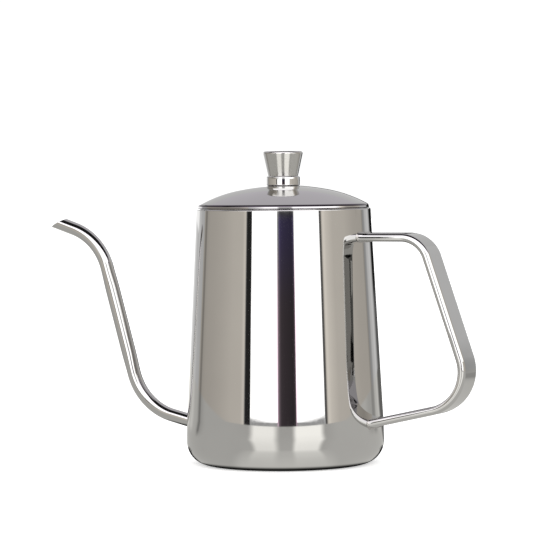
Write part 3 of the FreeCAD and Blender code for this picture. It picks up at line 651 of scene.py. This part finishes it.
def make_collar():
    crown_z = LID_TOP - CROWN_RADIUS
    foot_z = crown_z + math.sqrt(CROWN_RADIUS**2 - COLLAR_END**2)
    # A nearly straight barrel between two edges that are rolled well over.
    half = (COLLAR_TOP - foot_z) / 2 - COLLAR_ROUND
    bulge = COLLAR_BELLY - COLLAR_SHOULDER
    barrel = (half**2 + bulge**2) / (2 * bulge)
    middle_z = (COLLAR_TOP + foot_z) / 2
    lean = math.degrees(math.asin(half / barrel))
    side = arc((COLLAR_BELLY - barrel, middle_z), barrel, -lean, lean, 16)
    edge_r = side[-1, 0] - COLLAR_ROUND * math.cos(math.radians(lean))
    lift = COLLAR_ROUND * math.sin(math.radians(lean))
    top_edge = arc((edge_r, middle_z + half - lift), COLLAR_ROUND, lean, 90.0, 10)
    foot_edge = arc((edge_r, middle_z - half + lift), COLLAR_ROUND, -90.0, -lean, 10)
    bore_z = crown_z + math.sqrt(CROWN_RADIUS**2 - SCREW_HOLE**2)
    top = top_edge[-1, :2]
    runs = [
        line((SCREW_HOLE, bore_z), tuple(foot_edge[0, :2]), 3),
        foot_edge,
        side,
        top_edge,
        line(tuple(top), (SCREW_HOLE, top[1]), 3),
        line((SCREW_HOLE, top[1]), (SCREW_HOLE, bore_z), 3),
    ]
    collar = lathe("knob_barrel", runs, 192)
    polish(collar, runs)
    return collar


def make_grip():
    flare = math.atan2(GRIP_HEAD - GRIP_FOOT, GRIP_TOP - COLLAR_TOP)
    flare_deg = math.degrees(flare)
    # The edge touches the flared side and the level top.
    centre_z = GRIP_TOP - GRIP_EDGE
    side_at = GRIP_FOOT + (centre_z - COLLAR_TOP) * math.tan(flare)
    centre_r = side_at - GRIP_EDGE / math.cos(flare)
    edge = arc((centre_r, centre_z), GRIP_EDGE, -flare_deg, 90.0, 14)
    r = SMALL_EDGE
    hole_top = COLLAR_TOP + GRIP_HOLE_DEPTH
    foot_edge = arc((GRIP_FOOT - r, COLLAR_TOP + r), r, -90.0, -flare_deg, 5)
    # The hole's roof comes first. It faces down, so it runs outwards.
    runs = [
        line((0.0, hole_top), (SCREW_HOLE, hole_top), 2),
        line((SCREW_HOLE, hole_top), (SCREW_HOLE, COLLAR_TOP), 4),
        line((SCREW_HOLE, COLLAR_TOP), tuple(foot_edge[0, :2]), 3),
        foot_edge,
        line(tuple(foot_edge[-1, :2]), tuple(edge[0, :2]), 20),
        edge,
        line(tuple(edge[-1, :2]), (0.0, GRIP_TOP), 12),
    ]
    grip = lathe("knob_flare", runs, 192)
    polish(grip, runs)
    return grip


# --- Materials ---


class Finish:
    """A procedural metal, built up node by node."""

    def __init__(self, name):
        self.material = bpy.data.materials.new(name)
        self.material.use_nodes = True
        self.nodes = self.material.node_tree.nodes
        self.links = self.material.node_tree.links
        self.shader = next(n for n in self.nodes if n.type == "BSDF_PRINCIPLED")
        self.shader.inputs["Metallic"].default_value = 1.0
        self.coordinates = self.add("ShaderNodeTexCoord").outputs["Object"]

    def add(self, kind, **inputs):
        node = self.nodes.new(kind)
        for name, value in inputs.items():
            self.put(node, name.replace("_", " "), value)
        return node

    def put(self, node, name, value):
        socket = node.inputs[name]
        if isinstance(value, bpy.types.NodeSocket):
            self.links.new(value, socket)
        else:
            socket.default_value = value

    def math(self, operation, first, second=0.0):
        node = self.nodes.new("ShaderNodeMath")
        node.operation = operation
        self.put(node, 0, first)
        self.put(node, 1, second)
        return node.outputs[0]

    def stretched(self, scale):
        return self.add("ShaderNodeMapping", Vector=self.coordinates, Scale=scale).outputs[0]

    def noise(self, scale, detail=2.0, vector=None):
        vector = vector or self.coordinates
        node = self.add("ShaderNodeTexNoise", Vector=vector, Scale=scale, Detail=detail)
        return node.outputs[0]

    def between(self, value, low, high, floor=0.35, ceiling=0.65):
        node = self.add("ShaderNodeMapRange", Value=value, From_Min=floor, From_Max=ceiling)
        self.put(node, "To Min", low)
        self.put(node, "To Max", high)
        return node.outputs[0]

    def tone(self, share, first, second):
        """Colour the metal between two colours, or a socket's and another."""
        node = self.nodes.new("ShaderNodeMix")
        node.data_type = "RGBA"
        self.put(node, "Factor", share)
        for name, colour in (("A", first), ("B", second)):
            self.put(node, name, (*colour, 1.0) if isinstance(colour, tuple) else colour)
        self.put(self.shader, "Base Color", node.outputs["Result"])

    def grained(self, pattern, bright, dull, smooth_low, smooth_high, height):
        """One pattern gives the tone, the roughness and the relief."""
        self.tone(self.between(pattern, 0.0, 1.0), bright, dull)
        self.put(self.shader, "Roughness", self.between(pattern, smooth_low, smooth_high))
        self.bump(pattern, height)

    def bump(self, height, distance):
        node = self.add("ShaderNodeBump", Distance=distance, Height=height)
        self.put(self.shader, "Normal", node.outputs["Normal"])


def polished(name, bright, dull, smooth_low, smooth_high, wave):
    """Buffed sheet: faint broad waves, and patches that took the polish a little less."""
    finish = Finish(name)
    patch = finish.noise(38.0, 4.0)
    finish.tone(finish.between(patch, 0.0, 1.0), bright, dull)
    haze = finish.noise(420.0, 3.0)
    finish.put(finish.shader, "Roughness", finish.between(haze, smooth_low, smooth_high))
    finish.bump(finish.noise(30.0, 1.0), wave)
    return finish


def make_finishes():
    steel = polished(
        "polished_steel", (0.618, 0.612, 0.603), (0.597, 0.591, 0.583), 0.02, 0.04, 1.2e-5
    )
    strap = polished(
        "handle_steel", (0.61, 0.605, 0.597), (0.585, 0.58, 0.572), 0.03, 0.06, 1.2e-5
    )
    lid = polished(
        "lid_steel", (0.618, 0.609, 0.606), (0.597, 0.588, 0.585), 0.015, 0.03, 1e-5
    )
    # Shade is painted into the colour, in the crease above the lid's band and along its foot.
    split = lid.add("ShaderNodeSeparateXYZ", Vector=lid.coordinates)
    crease_height = (LID_FOOT + CREASE_RISE) * MM
    gap = lid.math("ABSOLUTE", lid.math("SUBTRACT", split.outputs["Z"], crease_height))
    crease = lid.between(gap, 1.0, 0.0, CREASE_DARK[0] * MM, CREASE_DARK[1] * MM)
    above = lid.math("SUBTRACT", split.outputs["Z"], LID_FOOT * MM)
    seam = lid.between(above, 1.0, 0.0, SEAM_DARK[0] * MM, SEAM_DARK[1] * MM)
    painted_shade_mask = lid.math("MAXIMUM", crease, seam)
    clean = lid.shader.inputs["Base Color"].links[0].from_socket
    # The painted shade: the lid's colour goes near black under the mask.
    lid.tone(painted_shade_mask, clean, (0.07, 0.055, 0.075))
    inner = Finish("inner_steel")
    streak = inner.noise(160.0, 3.0, inner.stretched((1.0, 1.0, 14.0)))
    inner.grained(streak, (0.57, 0.565, 0.555), (0.5, 0.495, 0.485), 0.2, 0.34, 6e-6)
    weld = Finish("weld_steel")
    grain = weld.noise(900.0, 4.0)
    weld.grained(grain, (0.54, 0.525, 0.51), (0.41, 0.385, 0.37), 0.1, 0.24, 1.2e-5)
    return {
        "steel": steel.material,
        "strap": strap.material,
        "lid": lid.material,
        "inner": inner.material,
        "weld": weld.material,
        "knob": make_turned(),
        "fastener": make_fastener(),
    }


def make_turned():
    """Turned and satin-brushed round its axis: fine rings, and a sheen drawn out along it."""
    finish = Finish("brushed_knob_steel")
    split = finish.add("ShaderNodeSeparateXYZ", Vector=finish.coordinates)
    x, y, z = (split.outputs[i] for i in range(3))
    squares = finish.math("ADD", finish.math("MULTIPLY", x, x), finish.math("MULTIPLY", y, y))
    run = finish.math("ADD", finish.math("SQRT", squares), z)
    rings = finish.add("ShaderNodeTexNoise", Scale=1.0, Detail=3.0)
    rings.noise_dimensions = "1D"
    finish.put(rings, "W", finish.math("MULTIPLY", run, 9000.0))
    finish.grained(rings.outputs[0], (0.6, 0.592, 0.577), (0.53, 0.522, 0.506), 0.1, 0.16, 1.5e-6)
    tangent = finish.nodes.new("ShaderNodeTangent")
    tangent.direction_type = "RADIAL"
    tangent.axis = "Z"
    finish.put(finish.shader, "Tangent", tangent.outputs[0])
    finish.put(finish.shader, "Anisotropic", 0.8)
    finish.put(finish.shader, "Anisotropic Rotation", 0.25)
    return finish.material


def make_fastener():
    finish = Finish("fastener_steel")
    grain = finish.noise(1500.0, 4.0)
    finish.grained(grain, (0.52, 0.52, 0.512), (0.42, 0.42, 0.412), 0.22, 0.42, 1e-5)
    return finish.material


# --- Put the pieces together ---


def finish_piece(piece, body, node, slot, *materials):
    for material in materials:
        piece.data.materials.append(material)
    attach(piece, body)
    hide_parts(node)


def build_kettle(finishes):
    body = make_body()
    finish_piece(
        body, "kettle", "body_shell", "polished_steel", finishes["steel"], finishes["inner"]
    )
    finish_piece(make_spout(), "kettle", "spout_tube", "polished_steel", finishes["steel"])
    finish_piece(make_strap(), "kettle", "handle_strap", "handle_steel", finishes["strap"])
    upper, lower, spout = make_welds()
    for bead, node in (
        (upper, "handle_weld_upper"),
        (lower, "handle_weld_lower"),
        (spout, "spout_weld"),
    ):
        finish_piece(bead, "kettle", node, "weld_steel", finishes["weld"])
    finish_piece(make_lid(), "lid", "lid_dome", "polished_steel", finishes["lid"])
    finish_piece(make_skirt(), "lid", "lid_skirt", "inner_steel", finishes["inner"])
    finish_piece(make_collar(), "lid", "knob_collar", "polished_steel", finishes["steel"])
    finish_piece(make_grip(), "lid", "knob_grip", "brushed_knob_steel", finishes["knob"])
    for name in ("knob_washer", "knob_spring_washer", "knob_screw"):
        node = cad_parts[name]
        node.data.materials.clear()
        node.data.materials.append(finishes["fastener"])


# --- Studio: a tent of glowing panels that only the metal sees, and a pale floor ---

TENT_RADIUS = 0.56
WALL_TOP = 0.40
ROOF_RISE = 0.38
# Directions in the roof are taken from about the height of the lid.
ROOF_EYE = 0.125
# What polished steel sends back of what it sees.
STEEL_SHARE = 0.6
WHITE = 1.1
# Azimuths are in degrees from the camera, and grow towards the right of the picture.
# Each pair is an azimuth and how bright the steel looks there, as a display value.
LOW_PANELS = (
    (-180.0, 1.0), (-166.0, 0.88), (-158.0, 0.8), (-152.0, 0.725), (-146.5, 0.675),
    (-142.0, 0.645), (-138.0, 0.7), (-134.0, 0.675), (-130.0, 0.63), (-124.0, 0.62),
    (-120.5, 0.57), (-118.0, 0.44), (-115.5, 0.44), (-113.5, 0.55), (-108.0, 0.575),
    (-95.0, 0.59), (-80.0, 0.615), (-65.0, 0.65), (-52.0, 0.66), (-48.4, 0.73),
    (-47.4, 0.6), (-46.6, 0.32), (-45.8, 0.13), (-40.4, 0.12), (-39.6, WHITE),
    (-8.6, WHITE), (-7.4, 0.48), (-5.0, 0.25), (-3.5, 0.2), (0.0, 0.18),
    (9.5, 0.155), (11.2, 0.2), (12.2, 0.4), (12.9, WHITE), (44.8, WHITE),
    (45.6, 0.3), (47.4, 0.3), (48.8, 0.7), (50.5, 0.775), (54.0, 0.72),
    (59.0, 0.685), (64.0, 0.655), (72.0, 0.65), (82.0, 0.645), (100.0, 0.6),
    (118.0, 0.585), (121.0, 0.5), (125.0, 0.51), (127.5, 0.58), (130.0, 0.655),
    (134.0, 0.66), (137.5, 0.7), (141.0, 0.67), (146.0, 0.52), (149.5, 0.3),
    (180.0, 0.26),
)
HIGH_PANELS = (
    (-180.0, 0.66), (-120.0, 0.52), (-80.0, 0.5), (-60.0, 0.54), (-38.0, 0.8),
    (-24.0, WHITE), (-8.6, WHITE), (-5.0, 0.66), (9.5, 0.66), (12.9, WHITE),
    (72.0, WHITE), (92.0, 0.6), (105.0, 0.56), (122.0, 0.64), (150.0, 0.66),
    (180.0, 0.66),
)
# Heights on the wall, in metres: where the high panels take over from the low ones, and how
# much lower they do beyond RIGHT_FROM.
HIGH_FROM = 0.169
HIGH_TO = 0.175
RIGHT_FROM = 105.0
RIGHT_DROP = 0.027
# In front, the wall above this and the roof are one white sheet.
SHEET_FROM = 0.3
SHEET_BLEND = 0.02
SHEET_SIDE = 78.0
SHEET_SIDE_BLEND = 6.0
# The panels start here, above the floor's light, and the two softboxes a little higher.
PANEL_FOOT = 0.022
BOX_FOOT = 0.031
LEFT_BOX = (-40.0, -8.2)
RIGHT_BOX = (12.7, 45.0)
UNDER_BOX_LEVEL = 0.56
# The wall behind the kettle: brighter above the lid's level, then as grey as the roof.
BEHIND = 140.0
BEHIND_DARK_TO = 169.0
BEHIND_BRIGHT_FROM = 0.118
BEHIND_DARK_TOP = 0.2
BEHIND_LEVEL = 0.86
BACK_LIGHT_TOP = 0.16
BACK_LIGHT_FADE = 0.25
# A black card at the right behind the kettle.
CARD_EDGE = (146.0, 149.0)
CARD_FOOT = (0.06, 0.08)
CARD_TOP = (0.2, 0.21)
CARD_LEVEL = 0.08
# The roof: a dark gap overhead, given as angles up from the camera's side.
ROOF_LEVEL = 0.635
ROOF_DARK_LEVEL = 0.1
DARK_FROM = 60.0
DARK_TO = 104.0
DARK_FADE = 6.0
DARK_SIDE = 52.0
DARK_SIDE_FADE = 12.0
# Tints of the reflections.
PLAIN = np.array([1.0, 1.0, 1.0])
WARM = np.array([1.02, 0.99, 0.945])
VIOLET = np.array([1.04, 0.95, 1.4])
BROWN = np.array([1.07, 0.95, 1.02])
ROOF_TINT = np.array([1.0, 0.985, 1.01])
FLOOR_TINT = np.array([1.0, 0.995, 0.975])
WARM_SIDES = (47.0, 122.0)
GAP_TINTED = (-10.0, 14.5)
GAP_LOWER = (-8.6, 13.4)
BROWN_TO = (0.1, 0.165)
# The floor: azimuths of the bright patches before the two softboxes, and reaches in metres.
# Towards the kettle the patches narrow and close up.
PATCH_NARROWING = ((0.05, 0.31), (0.66, 1.0))
LEFT_PATCH = (-43.0, -34.0, -15.0, -5.0)
RIGHT_PATCH = (6.0, 13.0, 38.0, 46.0)
LEFT_PATCH_LEVEL = 0.9
RIGHT_PATCH_LEVEL = 0.94
PATCH_STRENGTH = ((0.042, 0.058, 0.1, 0.164, 0.31, 0.5), (0.0, 0.3, 0.6, 0.78, 0.93, 1.0))
FLOOR_LEVEL = ((0.04, 0.058, 0.164, 0.5), (0.7, 0.67, 0.62, 0.605))
FLOOR_LEFT_LEVEL = 0.61
FLOOR_RIGHT_LEVEL = 0.64
FLOOR_ASIDE = (42.0, 62.0)
# Far off at the back the floor looks like the wall. Close behind, at the right, it is dark.
FAR_SIDES = (102.0, 114.0)
FAR_REACH = (0.2, 0.32)
NEAR_DARK_SIDES = (138.0, 148.0)
NEAR_DARK_REACH = (0.05, 0.056)
NEAR_DARK_LEVEL = 0.33
# Where the black under the kettle ends, by azimuth.
SHADOW_EDGE = ((80.0, 100.0, 125.0, 140.0, 150.0), (0.042, 0.05, 0.074, 0.074, 0.05))
SHADOW_LEVEL = 0.05
# A small black card over the spout.
FLAG_PLACE = (-0.0825, 0.012, 0.158)
FLAG_SIZE = (0.014, 0.03)
FLAG_FACING = (-0.35, -0.2, -0.86)


def step(value, low, high):
    """0 below low, 1 above high, and smooth between them."""
    t = np.clip((value - low) / (high - low), 0.0, 1.0)
    return t * t * (3.0 - 2.0 * t)


def keyed(keys, value):
    return np.interp(value, [k for k, _ in keys], [v for _, v in keys])


def lies_between(value, limits):
    """Whether a value lies strictly between two limits."""
    return (value > limits[0]) & (value < limits[1])


def blend(base, other, share):
    """From base, where share is 0, to other, where it is 1."""
    return base * (1.0 - share) + other * share


def emitted(level, tint):
    """Display brightness of the reflection, and its tint, to the light that gives it."""
    colour = np.clip(level[..., None] * tint, 0.0, None)
    linear = np.where(colour <= 0.04045, colour / 12.92, ((colour + 0.055) / 1.055) ** 2.4)
    return linear / STEEL_SHARE


def tint_of(azimuth, level):
    """Panels are warm, the gap between the softboxes is violet, and white stays white."""
    side = lies_between(np.abs(azimuth), WARM_SIDES)
    gap = lies_between(azimuth, GAP_TINTED)
    tint = np.where(side[..., None], WARM, np.where(gap[..., None], VIOLET, PLAIN))
    bright = step(level, np.where(gap, 0.26, 0.85), np.where(gap, 0.45, 1.0))[..., None]
    return blend(tint, PLAIN, bright)


def front_share(azimuth):
    """1 in front of the kettle, 0 beside it and behind it."""
    full, none = SHEET_SIDE - SHEET_SIDE_BLEND, SHEET_SIDE + SHEET_SIDE_BLEND
    return 1.0 - step(np.abs(azimuth), full, none)


def wall_light(azimuth, height):
    """The low panels, the high ones over them, and behind the kettle its own lights."""
    low = keyed(LOW_PANELS, azimuth)
    in_box = lies_between(azimuth, LEFT_BOX) | lies_between(azimuth, RIGHT_BOX)
    low = np.where(in_box & (height < BOX_FOOT), UNDER_BOX_LEVEL, low)
    bright_from = np.where(
        lies_between(azimuth, (BEHIND, BEHIND_DARK_TO)), BEHIND_DARK_TOP, BEHIND_BRIGHT_FROM
    )
    back = np.where(height < bright_from, low, np.maximum(low, BEHIND_LEVEL))
    card = step(azimuth, *CARD_EDGE) * step(height, *CARD_FOOT) * (1.0 - step(height, *CARD_TOP))
    back = blend(back, CARD_LEVEL, card)
    back = blend(back, ROOF_LEVEL, step(height, BACK_LIGHT_TOP, BACK_LIGHT_FADE))
    high = keyed(HIGH_PANELS, azimuth)
    sheet = step(height, SHEET_FROM, SHEET_FROM + SHEET_BLEND) * front_share(azimuth)
    high = blend(high, WHITE, sheet)
    drop = np.where(azimuth > RIGHT_FROM, RIGHT_DROP, 0.0)
    front = blend(low, high, step(height, HIGH_FROM - drop, HIGH_TO - drop))
    level = np.where(np.abs(azimuth) > BEHIND, back, front)
    tint = tint_of(azimuth, level)
    # The gap turns from violet to brown downwards, and is plain above the low panels.
    gap = lies_between(azimuth, GAP_LOWER)[..., None]
    lower = (1.0 - step(height, *BROWN_TO))[..., None]
    tint = np.where(gap, blend(tint, BROWN, lower), tint)
    tint = np.where(gap & (height > HIGH_FROM)[..., None], PLAIN, tint)
    light = emitted(level, tint)
    on_floor = (height < PANEL_FOOT)[..., None]
    return np.where(on_floor, floor_light(azimuth, np.full_like(azimuth, TENT_RADIUS)), light)


def roof_light(azimuth, height, reach):
    """White in front, dark from above the white sheet to overhead, and grey elsewhere."""
    forward = reach * np.cos(np.radians(azimuth))
    sideways = np.abs(reach * np.sin(np.radians(azimuth)))
    angle = np.degrees(np.arctan2(height - ROOF_EYE, forward))
    side_angle = np.degrees(np.arctan2(sideways, height - ROOF_EYE))
    dark = step(angle, DARK_FROM - 1.0, DARK_FROM + 1.0)
    dark = dark * (1.0 - step(angle, DARK_TO, DARK_TO + DARK_FADE))
    dark = dark * (1.0 - step(side_angle, DARK_SIDE, DARK_SIDE + DARK_SIDE_FADE))
    sheet = front_share(azimuth) * (1.0 - step(angle, DARK_FROM - 3.0, DARK_FROM))
    level = blend(blend(ROOF_LEVEL, WHITE, sheet), ROOF_DARK_LEVEL, dark)
    return emitted(level, ROOF_TINT)


def floor_light(azimuth, reach):
    """Grey, brighter before each softbox, and black under the kettle and close behind it."""
    spread = azimuth / np.interp(reach, *PATCH_NARROWING)
    left = step(spread, *LEFT_PATCH[:2]) * (1.0 - step(spread, *LEFT_PATCH[2:]))
    right = step(spread, *RIGHT_PATCH[:2]) * (1.0 - step(spread, *RIGHT_PATCH[2:]))
    ground = np.interp(reach, *FLOOR_LEVEL)
    side = np.where(azimuth > 0, FLOOR_RIGHT_LEVEL, FLOOR_LEFT_LEVEL)
    ground = blend(ground, side, step(np.abs(spread), *FLOOR_ASIDE))
    far = step(np.abs(azimuth), *FAR_SIDES) * step(reach, *FAR_REACH)
    ground = blend(ground, keyed(LOW_PANELS, azimuth), far)
    near = step(azimuth, *NEAR_DARK_SIDES) * step(reach, *NEAR_DARK_REACH)
    ground = blend(ground, NEAR_DARK_LEVEL, near)
    patches = left * (LEFT_PATCH_LEVEL - ground) + right * (RIGHT_PATCH_LEVEL - ground)
    level = ground + np.interp(reach, *PATCH_STRENGTH) * patches
    # The shadow's edge is soft, and softer where it reaches further out.
    edge = np.interp(np.abs(azimuth), *SHADOW_EDGE)
    softness = 0.0015 + (edge - SHADOW_EDGE[1][0]) * 0.5
    lit = step(reach, edge - 0.002, edge + softness)
    return emitted(blend(SHADOW_LEVEL, level, lit), FLOOR_TINT)


def card_material(name, attribute=True, level=0.0):
    material = bpy.data.materials.new(name)
    material.use_nodes = True
    nodes, links = material.node_tree.nodes, material.node_tree.links
    nodes.clear()
    glow = nodes.new("ShaderNodeEmission")
    if attribute:
        colour = nodes.new("ShaderNodeAttribute")
        colour.attribute_name = "glow"
        links.new(colour.outputs["Color"], glow.inputs["Color"])
    else:
        glow.inputs["Color"].default_value = (level, level, level, 1.0)
    end = nodes.new("ShaderNodeOutputMaterial")
    links.new(glow.outputs[0], end.inputs["Surface"])
    material.cycles.emission_sampling = "NONE"
    return material


def camera_axes():
    """Towards the camera, and to its right, both level."""
    angle = math.radians(CAMERA_AZIMUTH)
    towards = Vector((math.sin(angle), -math.cos(angle), 0.0))
    right = Vector((math.cos(angle), math.sin(angle), 0.0))
    return towards, right


def make_card(name, azimuths, rows, light):
    """A grid of glowing points. Each row gives a reach and a height, in metres."""
    towards, right = camera_axes()
    azimuth = np.array(azimuths)
    reach = np.array([r for r, _ in rows])[:, None]
    height = np.array([z for _, z in rows])[:, None]
    angle = np.radians(azimuth)[None, :]
    x = reach * (np.cos(angle) * towards.x + np.sin(angle) * right.x)
    y = reach * (np.cos(angle) * towards.y + np.sin(angle) * right.y)
    z = np.broadcast_to(height, x.shape)
    vertices = np.stack([x, y, z], 2).reshape(-1, 3)
    columns = len(azimuth)
    faces = []
    for i in range(len(rows) - 1):
        for j in range(columns - 1):
            a = i * columns + j
            faces.append((a, a + 1, a + columns + 1, a + columns))
    mesh = bpy.data.meshes.new(name)
    mesh.from_pydata(vertices.tolist(), [], faces)
    grid_azimuth = np.broadcast_to(azimuth[None, :], x.shape)
    grid_reach = np.broadcast_to(reach, x.shape)
    colour = np.ones(x.shape + (4,))
    colour[..., :3] = light(grid_azimuth, z, grid_reach)
    layer = mesh.color_attributes.new("glow", "FLOAT_COLOR", "POINT")
    layer.data.foreach_set("color", colour.reshape(-1))
    card = bpy.data.objects.new(name, mesh)
    bpy.context.scene.collection.objects.link(card)
    mesh.materials.append(card_material(name))
    only_reflected(card)


def only_reflected(card):
    card.visible_camera = False
    card.visible_diffuse = False
    card.visible_shadow = False
    card.visible_transmission = False


def make_tent():
    # Finer in front, where the softboxes have sharp edges.
    fine = np.arange(-60.0, 60.0, 0.2)
    azimuths = np.concatenate([np.arange(-180.0, -60.0, 0.5), fine, np.arange(60.0, 180.5, 0.5)])
    heights = np.concatenate(
        [[-0.002], np.arange(0.0, 0.06, 0.002), np.arange(0.06, WALL_TOP + 0.001, 0.005)]
    )
    wall = [(TENT_RADIUS, z) for z in heights]
    make_card("tent_wall", azimuths, wall, lambda a, z, r: wall_light(a, z))
    coarse = np.arange(-180.0, 181.0, 1.5)
    roof = []
    for t in np.linspace(0.0, 90.0, 61):
        angle = math.radians(t)
        roof.append((TENT_RADIUS * math.cos(angle), WALL_TOP + ROOF_RISE * math.sin(angle)))
    make_card("tent_roof", coarse, roof, roof_light)
    reaches = np.concatenate(
        [np.arange(0.0, 0.06, 0.001), np.arange(0.06, TENT_RADIUS + 0.005, 0.01)]
    )
    ground = [(r, -0.0005) for r in reaches]
    degrees = np.arange(-180.0, 181.0, 1.0)
    make_card("tent_floor", degrees, ground, lambda a, z, r: floor_light(a, r))


def make_flag(name, centre, size, facing):
    """A black card that darkens one edge of a reflection."""
    a, b = size[0] / 2, size[1] / 2
    corners = [(-a, -b), (a, -b), (a, b), (-a, b)]
    turn = Vector(facing).normalized().to_track_quat("Z", "Y").to_matrix()
    spots = [Vector(centre) + turn @ Vector((*corner, 0.0)) for corner in corners]
    mesh = bpy.data.meshes.new(name)
    mesh.from_pydata([tuple(s) for s in spots], [], [(0, 1, 2, 3)])
    flag = bpy.data.objects.new(name, mesh)
    bpy.context.scene.collection.objects.link(flag)
    mesh.materials.append(card_material(name, False, 0.005))
    only_reflected(flag)


def make_floor():
    """The pale floor that the camera sees. The metal sees the tent's floor instead."""
    size = 6.0
    mesh = bpy.data.meshes.new("floor")
    corners = [(-size, -size, 0.0), (size, -size, 0.0), (size, size, 0.0), (-size, size, 0.0)]
    mesh.from_pydata(corners, [], [(0, 1, 2, 3)])
    floor = bpy.data.objects.new("floor", mesh)
    bpy.context.scene.collection.objects.link(floor)
    material = bpy.data.materials.new("pale_floor")
    material.use_nodes = True
    shader = next(n for n in material.node_tree.nodes if n.type == "BSDF_PRINCIPLED")
    shader.inputs["Base Color"].default_value = (0.93, 0.93, 0.93, 1.0)
    shader.inputs["Roughness"].default_value = 0.9
    shader.inputs["Specular IOR Level"].default_value = 0.0
    shader.inputs["Emission Color"].default_value = (1.0, 1.0, 1.0, 1.0)
    shader.inputs["Emission Strength"].default_value = 0.5
    material.cycles.emission_sampling = "NONE"
    mesh.materials.append(material)
    floor.visible_glossy = False


def make_world():
    world = bpy.data.worlds.new("studio")
    world.use_nodes = True
    background = next(n for n in world.node_tree.nodes if n.type == "BACKGROUND")
    background.inputs["Color"].default_value = (1.0, 1.0, 1.0, 1.0)
    background.inputs["Strength"].default_value = 1.05
    bpy.context.scene.world = world
    bpy.context.scene.view_settings.view_transform = "Standard"


def make_camera():
    towards, right = camera_axes()
    data = bpy.data.cameras.new("camera")
    data.sensor_width = 36.0
    data.lens = CAMERA_LENS
    data.clip_start, data.clip_end = 0.01, 50.0
    camera = bpy.data.objects.new("camera", data)
    bpy.context.scene.collection.objects.link(camera)
    place = towards * CAMERA_DISTANCE + Vector((0.0, 0.0, CAMERA_HEIGHT))
    aim = Vector((0.0, 0.0, AIM_HEIGHT)) - right * AIM_LEFT
    turn = (aim - place).to_track_quat("-Z", "Y").to_matrix().to_4x4()
    roll = Matrix.Rotation(math.radians(CAMERA_ROLL), 4, "Z")
    camera.matrix_world = Matrix.Translation(place) @ turn @ roll
    bpy.context.scene.camera = camera


build_kettle(make_finishes())
make_tent()
make_flag("spout_flag", FLAG_PLACE, FLAG_SIZE, FLAG_FACING)
make_floor()
make_world()
make_camera()
